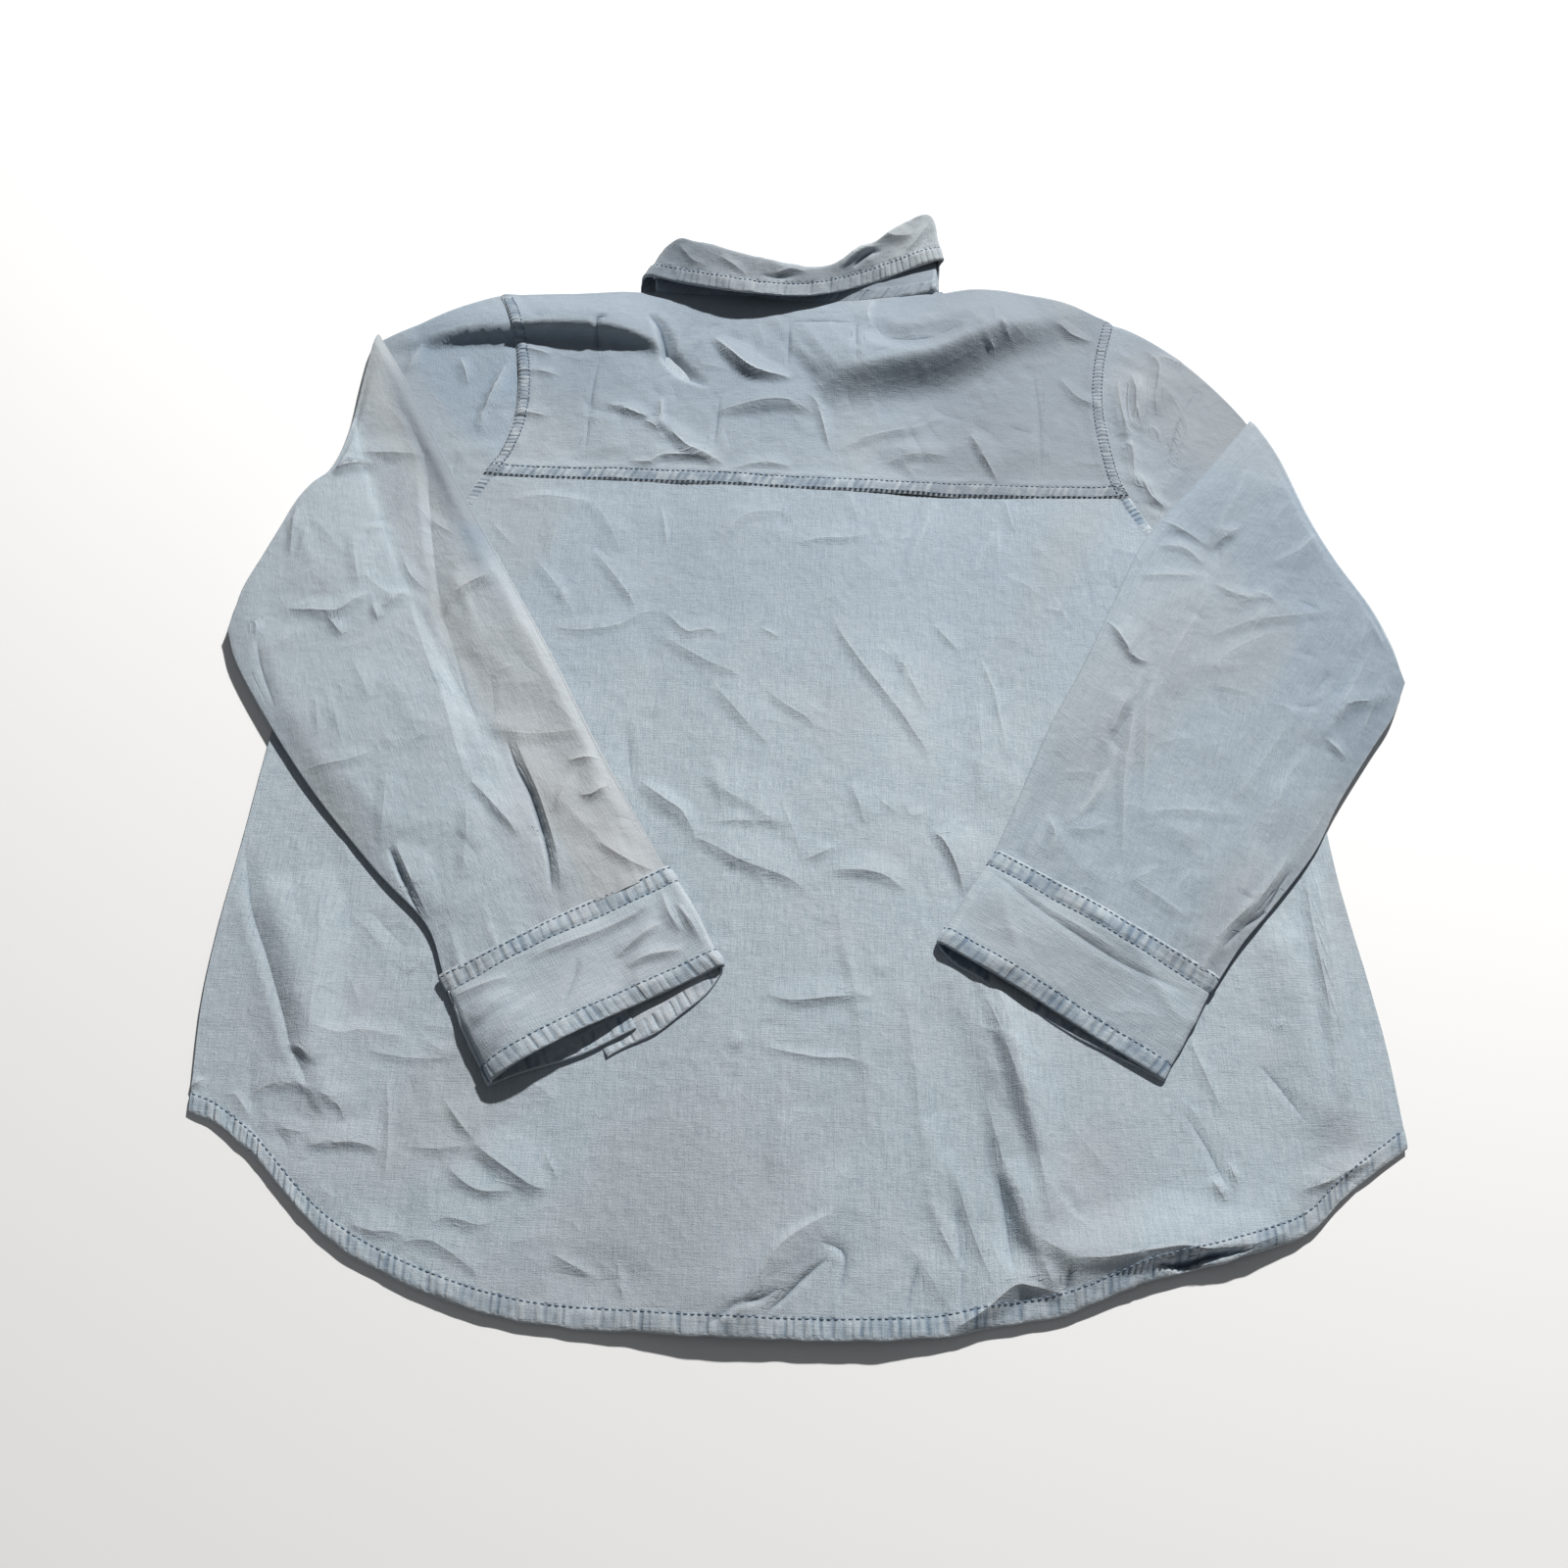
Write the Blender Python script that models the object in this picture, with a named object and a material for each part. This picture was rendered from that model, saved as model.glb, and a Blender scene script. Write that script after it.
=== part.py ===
"""A long-sleeved chambray shirt, laid face down with both sleeves folded over its back.

Frame: +Z up, +Y from the hem to the collar, +X towards the wearer's right side.
The floor is Z = 0 and the origin lies under the middle of the whole laid shirt.
All lengths below are centimetres; each mesh is scaled to metres when it is made.

The shirt lies in layers. The fronts are on the floor, raised at the middle by the
buttons and at the neck by the collar. The back and the yoke lie on them, and the
far part of each sleeve, with its cuff, lies on the back.
"""
import bpy
import numpy as np

CM = 0.01

# Cloth
WALL = 0.12                 # thickness of every cloth wall
GAP = 0.03                  # between pieces that are sewn together
SEAM = 0.05                 # between the middles' ends of two walls, seen from above
FLOOR_LEVEL = WALL / 2      # middle of a wall that lies on the floor
EDGE_LEVEL = FLOOR_LEVEL + WALL + GAP

# Body
HALF_HEM = 30.5
HEM_CORNER = -28.8
HEM_DROP = 10.2
HALF_CHEST = 30.6
HALF_YOKE = 20.4
UNDERARM = 5.0
YOKE_SEAM = 13.0
FRONT_TOP = 26.8            # seam between the yoke and the fronts, on the underside
YOKE_CORNER = 3             # which point of an armhole's outline is the yoke's corner
BACK_HOLE = 5               # points that the back has on an armhole
YOKE_HOLE = 5               # points that the yoke has on it
SOFT_RISE = 0.12            # how much the back lifts off the fronts, away from the side seams
RISE_WIDTH = 9.0
ROLL_SETBACK = 0.5          # where the yoke's height is taken, short of the shoulder's outline

# Front closure, and what lifts the fronts and the back
OVERLAP = 1.6               # how far each front passes the middle line
BUTTON_RADIUS = 0.55
BUTTON_HEIGHT = 0.20
BUTTON_SIDES = 12
BUTTON_FIRST = 23.1
BUTTON_STEP = 8.3
BUTTON_COUNT = 7
FRONT_NECK = 21.5
NECK_HALF = 8.4
FRONT_NECK_X = (2.6, 5.4, NECK_HALF)
FRONT_LIFT = 0.6            # how much shorter the fronts are than the back
SHOULDER_COLUMNS = 6        # columns of the yoke's grid at each shoulder
NECK_COLUMNS = 10           # and at the neck
RAISE = BUTTON_HEIGHT + GAP
LAP_START = -6.8            # where the left front starts to climb over the right one
LAP_CLIMB = 1.8             # and how wide that climb is
MIDDLE_HALF = 5.0           # half the width that the buttons lift
COLLAR_HALF = 13.0          # half the width that the collar's front lifts
COLLAR_LOWEST = 16.6        # and how far down it reaches

# Sleeves
CLEARANCE = 0.16            # between the shirt and what lies on it
LOFT = 0.04                 # between a sleeve's two walls near its edges
EDGE_REACH = 0.5            # the most that a sleeve's rounded edges draw in
FOLD_TURN = 0.30            # how far the outer wall's turn reaches at the fold
FOLD_TURN_INNER = 0.08      # and the inner wall's
FOLD_EDGE_REACH = 0.1
NEAR_STEPS = (0.0, 0.35, 0.7, 1.0)      # sections from the armhole to the fold
FAR_STEPS = 8                           # and from the fold to the cuff
FOLD_ANGLES = (45, 90, 135)
EDGE_ANGLES = (-55.0, 0.0, 55.0)
CUFF_EASE = 0.8             # share of the far part's length after which it follows the cuff
UNDERARM_BOW = 4.0          # keeps the sleeve's lower edge clear of the body's corner
UNDERARM_SHARE = 0.68       # where on the fold line the armhole's last stretch ends

# Cuffs
CUFF_WIDTH = 13.4
CUFF_LENGTH = 6.4
CUFF_BUTTON_RADIUS = 0.5
CUFF_BUTTON_HEIGHT = 0.16
CUFF_BUTTON_INSET = 0.1     # share of the cuff's width from its outer end to its button
CUFF_OUTER = 0.34           # heights of a cuff's three layers over the back: outer end,
CUFF_INNER = 0.50           # inner end,
CUFF_TOP = 0.66             # and upper layer where it is flattest
CUFF_SECTIONS = 4

# Collar
FALL_BULGE = 0.25           # how far the fall bows up between its crest and its free edge
FALL_FLAT = 0.1             # free edges up to this height lie flat

# Outlines, from the hem end to the collar end. Columns: x, y
SIDE_LEFT = [(-30.5, -28.8), (-31.2, -22.0), (-31.0, -12.0), (-30.8, -3.0), (-30.6, 5.0)]
SIDE_RIGHT = [(30.5, -28.8), (30.2, -23.0), (29.2, -13.0), (29.6, -4.0), (30.6, 5.0)]
ARMHOLE_LEFT = [(-30.6, 5.0), (-26.8, 6.4), (-23.3, 9.2), (-21.2, 13.2),
                (-20.0, 16.5), (-19.7, 20.5), (-20.4, 25.0), (-21.9, 29.2)]
ARMHOLE_RIGHT = [(30.6, 5.0), (26.8, 6.2), (23.0, 9.2), (21.0, 12.8),
                 (20.3, 16.0), (20.0, 20.5), (20.4, 24.5), (21.4, 28.4)]
YOKE_LINE = [(-21.2, 13.2), (-12.0, 13.0), (0.0, 12.4), (10.0, 12.4), (21.0, 12.8)]
SHOULDER_LEFT = [(-21.9, 29.2), (-16.0, 29.5), (-11.3, 29.8)]
BACK_NECK = [(-11.3, 29.8), (-8.0, 29.5), (-4.0, 28.65), (0.0, 28.3), (4.0, 28.85), (9.2, 30.3)]
SHOULDER_RIGHT = [(9.2, 30.3), (11.8, 30.8), (16.5, 30.3), (19.6, 29.4), (21.4, 28.4)]

# Folds of the upper layer. Columns: crest points, height, width on the left
# of the crest's direction, width on its right
FOLDS = [
    ([(-26.0, 27.3), (-18.0, 27.9), (-11.0, 28.0)], 0.75, 2.4, 0.9),
    ([(2.5, 22.4), (8.0, 23.6), (12.0, 26.0), (17.5, 28.6)], 1.00, 4.0, 1.1),
    ([(7.6, -36.6), (14.0, -35.6), (24.0, -32.4)], 0.80, 1.6, 1.0),
    ([(7.4, -21.0), (8.6, -26.0), (11.5, -34.5)], 0.45, 1.5, 1.5),
    ([(-2.5, -37.0), (1.5, -32.5)], 0.50, 1.4, 1.4),
    ([(-28.5, -17.5), (-24.5, -26.5)], 0.35, 1.6, 1.6),
    ([(26.2, -18.5), (27.2, -27.0)], 0.35, 1.6, 1.6),
]

# Sleeves. Each is one flattened tube that leaves the armhole, folds once along a slanting
# line and comes back over the shirt. Columns of each outline: x, y
SLEEVES = {
    "sleeve_left": {
        "side": -1,
        "armhole": ARMHOLE_LEFT,
        "fold": [(-29.7, 24.8), (-30.0, 18.0), (-30.6, 13.0), (-32.2, 10.5), (-33.9, 6.0), (-34.7, 0.0)],
        "inner": [(-29.7, 24.8), (-27.5, 21.4), (-25.0, 16.7), (-22.4, 11.8), (-18.5, 5.0),
                  (-15.0, -1.2), (-11.6, -7.6), (-7.3, -15.1)],
        "outer": [(-34.7, 0.0), (-33.1, -3.2), (-30.5, -6.9), (-27.3, -11.0), (-23.2, -15.5),
                  (-20.0, -18.6), (-18.6, -21.6)],
        "puff": 0.50,
    },
    "sleeve_right": {
        "side": 1,
        "armhole": ARMHOLE_RIGHT,
        "fold": [(29.9, 19.6), (30.9, 16.0), (32.2, 9.8), (34.4, 4.0), (35.6, -1.2)],
        "inner": [(29.9, 19.6), (25.6, 14.4), (21.6, 9.4), (19.2, 4.6), (16.6, -0.8),
                  (14.2, -5.4), (12.2, -10.0), (10.7, -13.4)],
        "outer": [(35.6, -1.2), (33.2, -5.3), (30.4, -9.6), (28.6, -12.8), (25.6, -16.4),
                  (23.8, -18.4), (22.2, -20.6)],
        "puff": 0.55,
    },
}

# Cuffs. mouth: how far the two layers part there; shear: how far the free end slips out
CUFFS = {
    "cuff_left": {"sleeve": "sleeve_left", "mouth": 1.35, "shear": 1.1, "end": 0.68},
    "cuff_right": {"sleeve": "sleeve_right", "mouth": 0.80, "shear": 0.3, "end": 0.60},
}

# Collar stand: seam at the neck, then its top edge. A back station's first height is
# measured from the yoke there. Columns: place, neck x, y, z, top x, y, z
STAND = [
    ("front", 1.2, 21.55, 0.44, 1.2, 24.60, 0.44),
    ("front", -2.6, 22.06, 0.44, -2.3, 24.95, 0.44),
    ("front", -5.35, 23.72, 0.31, -4.5, 26.50, 0.31),
    ("front", -8.30, 26.88, 0.29, -6.9, 28.90, 0.31),
    ("front", -10.1, 29.00, 0.32, -9.2, 31.20, 0.42),
    ("front", -11.1, 30.35, 0.60, -10.9, 32.20, 1.00),
    ("back", -10.4, 29.90, 0.04, -10.4, 32.50, 1.70),
    ("back", -8.0, 29.60, 0.0, -8.0, 32.20, 2.00),
    ("back", -4.0, 28.75, 0.0, -4.0, 31.20, 2.40),
    ("back", 0.0, 28.40, 0.0, 0.0, 30.90, 2.60),
    ("back", 4.0, 28.95, 0.0, 4.0, 31.70, 2.70),
    ("back", 8.0, 30.20, 0.04, 8.2, 33.20, 2.80),
    ("front", 8.95, 30.80, 0.85, 9.3, 33.20, 1.50),
    ("front", 8.80, 29.60, 0.34, 8.5, 31.60, 0.50),
    ("front", 8.30, 26.88, 0.29, 6.9, 28.90, 0.31),
    ("front", 5.35, 23.72, 0.29, 4.5, 26.50, 0.29),
    ("front", 2.6, 22.06, 0.29, 2.3, 24.95, 0.29),
    ("front", -1.2, 21.55, 0.29, -1.2, 24.60, 0.29),
]

# Collar fall, folded over the stand. Columns: root x, y, z, crest x, y, z, free edge x, y, z
FALL = [
    (-0.9, 24.90, 0.09, -0.95, 24.50, 0.06, -4.3, 17.60, 0.06),
    (-2.3, 25.25, 0.09, -2.45, 24.85, 0.06, -7.0, 19.00, 0.06),
    (-4.4, 26.80, 0.09, -4.75, 26.45, 0.06, -9.5, 21.80, 0.06),
    (-6.7, 29.15, 0.09, -7.20, 28.80, 0.06, -11.5, 25.20, 0.06),
    (-9.2, 31.55, 0.18, -9.70, 31.40, 0.08, -12.6, 29.60, 0.06),
    (-11.3, 32.50, 1.05, -11.7, 32.40, 0.92, -12.7, 31.00, 0.45),
    (-10.4, 32.70, 1.85, -9.70, 33.10, 2.90, -11.8, 30.60, 1.75),
    (-8.0, 32.40, 2.15, -8.00, 32.70, 3.15, -8.6, 29.60, 2.10),
    (-4.0, 31.40, 2.55, -4.00, 31.20, 3.45, -4.4, 28.60, 2.40),
    (0.0, 31.10, 2.75, 0.30, 30.10, 3.60, 0.0, 28.50, 2.60),
    (4.0, 31.90, 2.85, 4.30, 32.20, 4.10, 4.0, 29.20, 3.20),
    (8.2, 33.40, 2.95, 8.30, 34.70, 4.50, 9.0, 31.70, 3.60),
    (9.7, 33.40, 1.55, 10.1, 33.90, 2.10, 11.0, 32.20, 1.40),
    (8.6, 31.95, 0.28, 9.20, 31.90, 0.12, 12.0, 30.90, 0.06),
    (6.7, 29.15, 0.09, 7.20, 28.80, 0.06, 11.5, 25.60, 0.06),
    (4.4, 26.80, 0.09, 4.75, 26.45, 0.06, 9.5, 21.80, 0.06),
    (2.3, 25.25, 0.09, 2.45, 24.85, 0.06, 7.0, 19.00, 0.06),
    (0.9, 24.90, 0.09, 0.95, 24.50, 0.06, 4.3, 17.60, 0.06),
]

CHAMBRAY = (0.36, 0.45, 0.52, 1.0)
CHAMBRAY_DARK = (0.28, 0.36, 0.43, 1.0)
SHELL = (0.78, 0.78, 0.75, 1.0)


# ---------------------------------------------------------------- shapes
def front_neck(x):
    """Height of the fronts' neckline at a distance from the middle line."""
    return FRONT_NECK + (FRONT_TOP - FRONT_NECK) * (x / NECK_HALF) ** 2


def smooth(t):
    """A soft step from 0 to 1."""
    t = np.clip(t, 0.0, 1.0)
    return t * t * (3.0 - 2.0 * t)


def along(points, shares):
    """Points at shares of the length of a smooth curve through the given ones."""
    p = np.asarray(points, float)
    before = np.vstack([2 * p[0] - p[1], p[:-2], p[-2:-1]])[: len(p) - 1]
    after = np.vstack([p[2:], 2 * p[-1] - p[-2]])
    t = np.linspace(0.0, 1.0, 12, endpoint=False)[:, None]
    runs = [
        b + 0.5 * ((c - a) * t + (2 * a - 5 * b + 4 * c - d) * t ** 2 + (3 * b - a - 3 * c + d) * t ** 3)
        for a, b, c, d in zip(before, p[:-1], p[1:], after)
    ]
    fine = np.vstack(runs + [p[-1:]])
    length = np.concatenate([[0.0], np.cumsum(np.linalg.norm(np.diff(fine, axis=0), axis=1))])
    at = np.asarray(shares, float) * length[-1]
    return np.stack([np.interp(at, length, fine[:, k]) for k in range(p.shape[1])], axis=-1)


def shares_of(line):
    """Share of its length at each point of a line."""
    length = np.concatenate([[0.0], np.cumsum(np.linalg.norm(np.diff(line, axis=0), axis=1))])
    return length / length[-1]


def patch(low, high, left, right):
    """Points inside four edge lines, by Coons' rule. Facing lines have as many points as each other."""
    u = (0.5 * (shares_of(low) + shares_of(high)))[None, :, None]
    v = (0.5 * (shares_of(left) + shares_of(right)))[:, None, None]
    a, b, c, d = low[None], high[None], left[:, None], right[:, None]
    corners = (1 - v) * ((1 - u) * a[:, :1] + u * a[:, -1:]) + v * ((1 - u) * b[:, :1] + u * b[:, -1:])
    return (1 - v) * a + v * b + (1 - u) * c + u * d - corners


def fold_height(x, y, crest, height, left, right):
    """Height that one fold adds at each point: a soft ridge along its crest, fading past its ends."""
    best = np.full(np.shape(x), 1e9)
    side = np.zeros(np.shape(x))
    for (x1, y1), (x2, y2) in zip(crest[:-1], crest[1:]):
        dx, dy = x2 - x1, y2 - y1
        t = np.clip(((x - x1) * dx + (y - y1) * dy) / (dx * dx + dy * dy), 0.0, 1.0)
        ex, ey = x - x1 - t * dx, y - y1 - t * dy
        far = np.hypot(ex, ey)
        nearer = far < best
        best = np.where(nearer, far, best)
        side = np.where(nearer, dx * ey - dy * ex, side)
    width = np.where(side > 0, left, right)
    return height * np.exp(-((best / width) ** 2))


def half_width(y):
    """Half the body's width between its armholes or its side seams."""
    return HALF_CHEST + (HALF_YOKE - HALF_CHEST) * smooth((y - UNDERARM) / (YOKE_SEAM - UNDERARM))


def over_collar(x, y, spread):
    """1 where the shirt lies on the collar's front, fading to 0 over a spread around it."""
    out = np.maximum(np.abs(x) - COLLAR_HALF, 0.0) + np.maximum(COLLAR_LOWEST - y, 0.0)
    return smooth(1.0 - out / spread)


def lower(x, y):
    """Middle height of the lower layer: the fronts, where they don't overlap."""
    middle = smooth((MIDDLE_HALF - np.abs(x)) / 2.0)
    return FLOOR_LEVEL + RAISE * np.maximum(middle, over_collar(x, y, 1.6))


def upper(x, y):
    """Middle height of the upper layer: the back, the yoke and the near part of each sleeve.
    It lies on the fronts, so it is highest over their overlap and over the collar."""
    wide = MIDDLE_HALF + 2.5
    middle = smooth((wide - np.abs(x)) / 4.0)
    lap = smooth((wide + 2.0 - np.abs(x)) / 3.0)
    z = EDGE_LEVEL + RAISE * np.maximum(middle, over_collar(x, y, 4.0)) + (WALL + GAP) * lap
    z = z + SOFT_RISE * smooth((half_width(y) - np.abs(x)) / RISE_WIDTH)
    for fold in FOLDS:
        z = z + fold_height(x, y, *fold)
    return z


def hem(across, lift=0.0):
    """Points of the curved shirt-tail hem at places across it."""
    across = np.asarray(across, float)
    return np.column_stack([across, HEM_CORNER + lift - HEM_DROP * (1 - (np.abs(across) / HALF_HEM) ** 3)])


def share_at(points, y):
    """Share of a curve's length at which it first reaches height y."""
    shares = np.linspace(0.0, 1.0, 400)
    return float(shares[np.argmax(along(points, shares)[:, 1] >= y)])


def armhole(points):
    """The points that every piece at an armhole shares, from the underarm to the shoulder.
    The back has the first BACK_HOLE of them and the yoke the rest."""
    corner = share_at(points, points[YOKE_CORNER][1])
    shares = np.concatenate([np.linspace(0.0, corner, BACK_HOLE), np.linspace(corner, 1.0, YOKE_HOLE)[1:]])
    return along(points, shares)


def outward(line, side):
    """A line moved outwards by the seam's gap, square to itself."""
    way = np.gradient(line, axis=0)
    normal = np.column_stack([way[:, 1], -way[:, 0]]) * side
    return line + SEAM * normal / np.linalg.norm(normal, axis=1)[:, None]


# ---------------------------------------------------------------- making objects
def material(name, colour, roughness):
    made = bpy.data.materials.new(name)
    made.use_nodes = True
    shader = made.node_tree.nodes["Principled BSDF"]
    shader.inputs["Base Color"].default_value = colour
    shader.inputs["Roughness"].default_value = roughness
    shader.inputs["Metallic"].default_value = 0.0
    made.diffuse_color = colour
    return made


def add_object(name, points, faces, colour, roughness=0.9):
    mesh = bpy.data.meshes.new(name)
    mesh.from_pydata([tuple(map(float, p * CM)) for p in points], [], faces)
    mesh.update()
    mesh.shade_smooth()
    mesh.materials.append(material(name, colour, roughness))
    made = bpy.data.objects.new(name, mesh)
    bpy.context.scene.collection.objects.link(made)
    return made


def cloth(name, grid, colour=CHAMBRAY, ring=False, keep=None, even=True, slants=None):
    """A wall of cloth around a grid of points. ring joins the last column to the first,
    keep says which cells of the grid are cloth, and slants says for each column whether
    its cells are cut along the diagonal that climbs (1) or falls (-1)."""
    rows, columns = grid.shape[:2]
    spans = columns if ring else columns - 1
    faces = []
    for j in range(rows - 1):
        for i in range(spans):
            if keep is None or keep[j][i]:
                k = (i + 1) % columns
                a, b = j * columns + i, j * columns + k
                c, d = b + columns, a + columns
                slant = slants[i] if slants else 0
                faces += {0: [(a, b, c, d)], 1: [(a, b, c), (a, c, d)], -1: [(a, b, d), (b, c, d)]}[slant]
    used = sorted({v for face in faces for v in face})
    place = {v: n for n, v in enumerate(used)}
    points = grid.reshape(-1, 3)[used]
    faces = [tuple(place[v] for v in face) for face in faces]
    made = add_object(name, points, faces, colour)
    wall = made.modifiers.new("wall", "SOLIDIFY")
    wall.thickness = WALL * CM
    wall.offset = 0.0
    wall.use_even_offset = even
    wall.thickness_clamp = 1.0
    return made


def button(name, x, y, z, radius, height):
    """A flat round button with a shallow bevel on both rims."""
    turn = np.linspace(0.0, 2 * np.pi, BUTTON_SIDES, endpoint=False)
    rim = 0.25 * height
    levels = [(radius - rim, 0.0), (radius, rim), (radius, height - rim), (radius - rim, height)]
    points = [np.array([x + r * np.cos(a), y + r * np.sin(a), z + h]) for r, h in levels for a in turn]
    n = BUTTON_SIDES
    faces = [tuple(reversed(range(n))), tuple(range(3 * n, 4 * n))]
    for level in range(3):
        for i in range(n):
            k = (i + 1) % n
            faces.append((level * n + i, level * n + k, (level + 1) * n + k, (level + 1) * n + i))
    return add_object(name, points, faces, SHELL, 0.35)


# ---------------------------------------------------------------- body
def back():
    shares = np.concatenate([[0.0, 0.025, 0.055, 0.09, 0.14], np.linspace(0.2, 1.0, 11)])
    across = np.linspace(0.0, 1.0, 25)
    left = np.vstack([along(SIDE_LEFT, shares)[:-1], armhole(ARMHOLE_LEFT)[:BACK_HOLE]])
    right = np.vstack([along(SIDE_RIGHT, shares)[:-1], armhole(ARMHOLE_RIGHT)[:BACK_HOLE]])
    plan = patch(hem(HALF_HEM * (2 * across - 1)), along(YOKE_LINE, across), left, right)
    plan[-1, :, 1] -= SEAM / 2
    x, y = plan[..., 0], plan[..., 1]
    return cloth("back", np.dstack([x, y, upper(x, y)]))


def yoke():
    """The yoke's upper layer, and past each shoulder a roll to the strip underneath."""
    top = np.vstack([
        along(SHOULDER_LEFT, np.linspace(0, 1, SHOULDER_COLUMNS)),
        along(BACK_NECK, np.linspace(0, 1, NECK_COLUMNS))[1:],
        along(SHOULDER_RIGHT, np.linspace(0, 1, SHOULDER_COLUMNS))[1:],
    ])
    columns = len(top)
    last = columns - SHOULDER_COLUMNS
    shoulder = np.ones(columns, bool)
    shoulder[SHOULDER_COLUMNS: last] = False
    rows = np.linspace(0.0, 1.0, 2 * YOKE_HOLE - 1)
    halves = np.arange(len(rows)) / 2
    left, right = (
        np.column_stack([np.interp(halves, np.arange(YOKE_HOLE), line[:, k]) for k in (0, 1)])
        for line in (armhole(p)[BACK_HOLE - 1:] for p in (ARMHOLE_LEFT, ARMHOLE_RIGHT))
    )
    plan = patch(along(YOKE_LINE, shares_of(top)), top, left, right)
    plan[0, :, 1] += SEAM / 2
    # The roll needs room, so the upper layer stops short of the shoulder's outline.
    roll = 0.5 * (upper(top[:, 0], top[:, 1] - ROLL_SETBACK) - lower(top[:, 0], top[:, 1]))
    plan[-1, shoulder, 1] -= roll[shoulder]
    x, y = plan[..., 0], plan[..., 1]
    sheets = [np.dstack([x, y, upper(x, y)])]

    edge = sheets[0][-1]
    base = lower(edge[:, 0], edge[:, 1])
    for a in np.radians([45, 90, 135, 180]):
        z = base + (edge[:, 2] - base) * 0.5 * (1 + np.cos(a))
        sheets.append(np.column_stack([edge[:, 0], edge[:, 1] + roll * np.sin(a), z])[None])
    ends = np.column_stack([edge[:, 0], np.full(columns, FRONT_TOP + SEAM)])
    marks = [0, SHOULDER_COLUMNS - 1, last, columns - 1]
    places = [front_corner(ARMHOLE_LEFT), -NECK_HALF, NECK_HALF, front_corner(ARMHOLE_RIGHT)]
    ends[:, 0] = np.interp(np.arange(columns), marks, places)
    for share in (0.5, 1.0):
        flat = edge[:, :2] * (1 - share) + ends * share
        sheets.append(np.column_stack([flat, lower(flat[:, 0], flat[:, 1])])[None])
    grid = np.vstack(sheets)
    keep = np.ones((len(grid) - 1, columns - 1), bool)
    keep[len(rows) - 1:, SHOULDER_COLUMNS - 1: last] = False
    return cloth("yoke", grid, keep=keep)


def front_corner(points):
    """Where the seam between the yoke and a front meets the armhole, across the shirt."""
    line = armhole(points)
    return float(np.interp(FRONT_TOP, line[:, 1], line[:, 0]))


def front(name, side):
    """One front, from its edge past the middle line to the side seam and the armhole."""
    seam, hole = (SIDE_LEFT, ARMHOLE_LEFT) if side < 0 else (SIDE_RIGHT, ARMHOLE_RIGHT)
    start = -side * OVERLAP
    shares = np.array([0.0, 0.05, 0.10, 0.16, 0.24, 0.35, 0.48, 0.62, 0.76, 0.88, 1.0])
    bottom = hem(start + (side * HALF_HEM - start) * shares, FRONT_LIFT)
    corner = np.array([[front_corner(hole), FRONT_TOP]])
    outer = np.vstack([along(seam, np.linspace(0, 1, 6))[:-1], armhole(hole)[:-1], corner])
    outer[0] = bottom[-1]
    edge_count = len(outer) - len(FRONT_NECK_X)
    edge = [(start, y) for y in np.linspace(bottom[0][1], FRONT_NECK, edge_count)]
    neck = [(side * x, front_neck(x)) for x in FRONT_NECK_X]
    inner = np.array(edge + neck)
    top = np.linspace(inner[-1], outer[-1], len(shares))
    plan = patch(bottom, top, inner, outer)
    x, y = plan[..., 0], plan[..., 1]
    z = lower(x, y)
    if side < 0:
        z = z + (WALL + GAP) * smooth((x - LAP_START) / LAP_CLIMB)
    return cloth(name, np.dstack([x, y, z]))


# ---------------------------------------------------------------- sleeves and cuffs
def sleeve_levels(x, y, w, s, puff):
    """Middle heights of the two walls where a sleeve lies on the shirt, at share w across
    it and share s of the way from its fold to the cuff."""
    cuff = smooth((s - CUFF_EASE) / (1.0 - CUFF_EASE))
    under = upper(x, y) + WALL + CLEARANCE + (CUFF_INNER - WALL - CLEARANCE) * cuff
    crown = np.sin(np.pi * np.clip(w, 0, 1)) ** 0.8
    apart = WALL + LOFT + (CUFF_TOP - CUFF_INNER - WALL - LOFT) * cuff
    return under, under + apart + puff * crown


def close_ring(first, second, first_z, second_z, reach=EDGE_REACH):
    """One ring round a flattened tube. Its two walls share a plan line, and half rounds join
    them at both ends, inside that line."""
    def half_round(end, inward, z_from, z_to):
        half = 0.5 * (z_to - z_from)
        out = min(abs(half), reach)
        return [
            np.array([*(end + inward * out * (1 - np.cos(a))), z_from + half * (1 + np.sin(a))])
            for a in np.radians(EDGE_ANGLES)
        ]

    def drawn_in(line):
        line = line.copy()
        for k, inner_way in ((0, 1), (-1, -1)):
            way = inner_way * (line[-1] - line[0]) / np.linalg.norm(line[-1] - line[0])
            line[k] = line[k] + way * min(0.5 * abs(second_z[k] - first_z[k]), reach)
        return line

    a, b = drawn_in(first), drawn_in(second)
    inward = (first[-1] - first[0]) / np.linalg.norm(first[-1] - first[0])
    ring = [np.array([*p, z]) for p, z in zip(a, first_z)]
    ring += half_round(first[-1], -inward, first_z[-1], second_z[-1])
    ring += [np.array([*p, z]) for p, z in zip(b[::-1], second_z[::-1])]
    ring += half_round(first[0], inward, second_z[0], first_z[0])
    return ring


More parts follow.
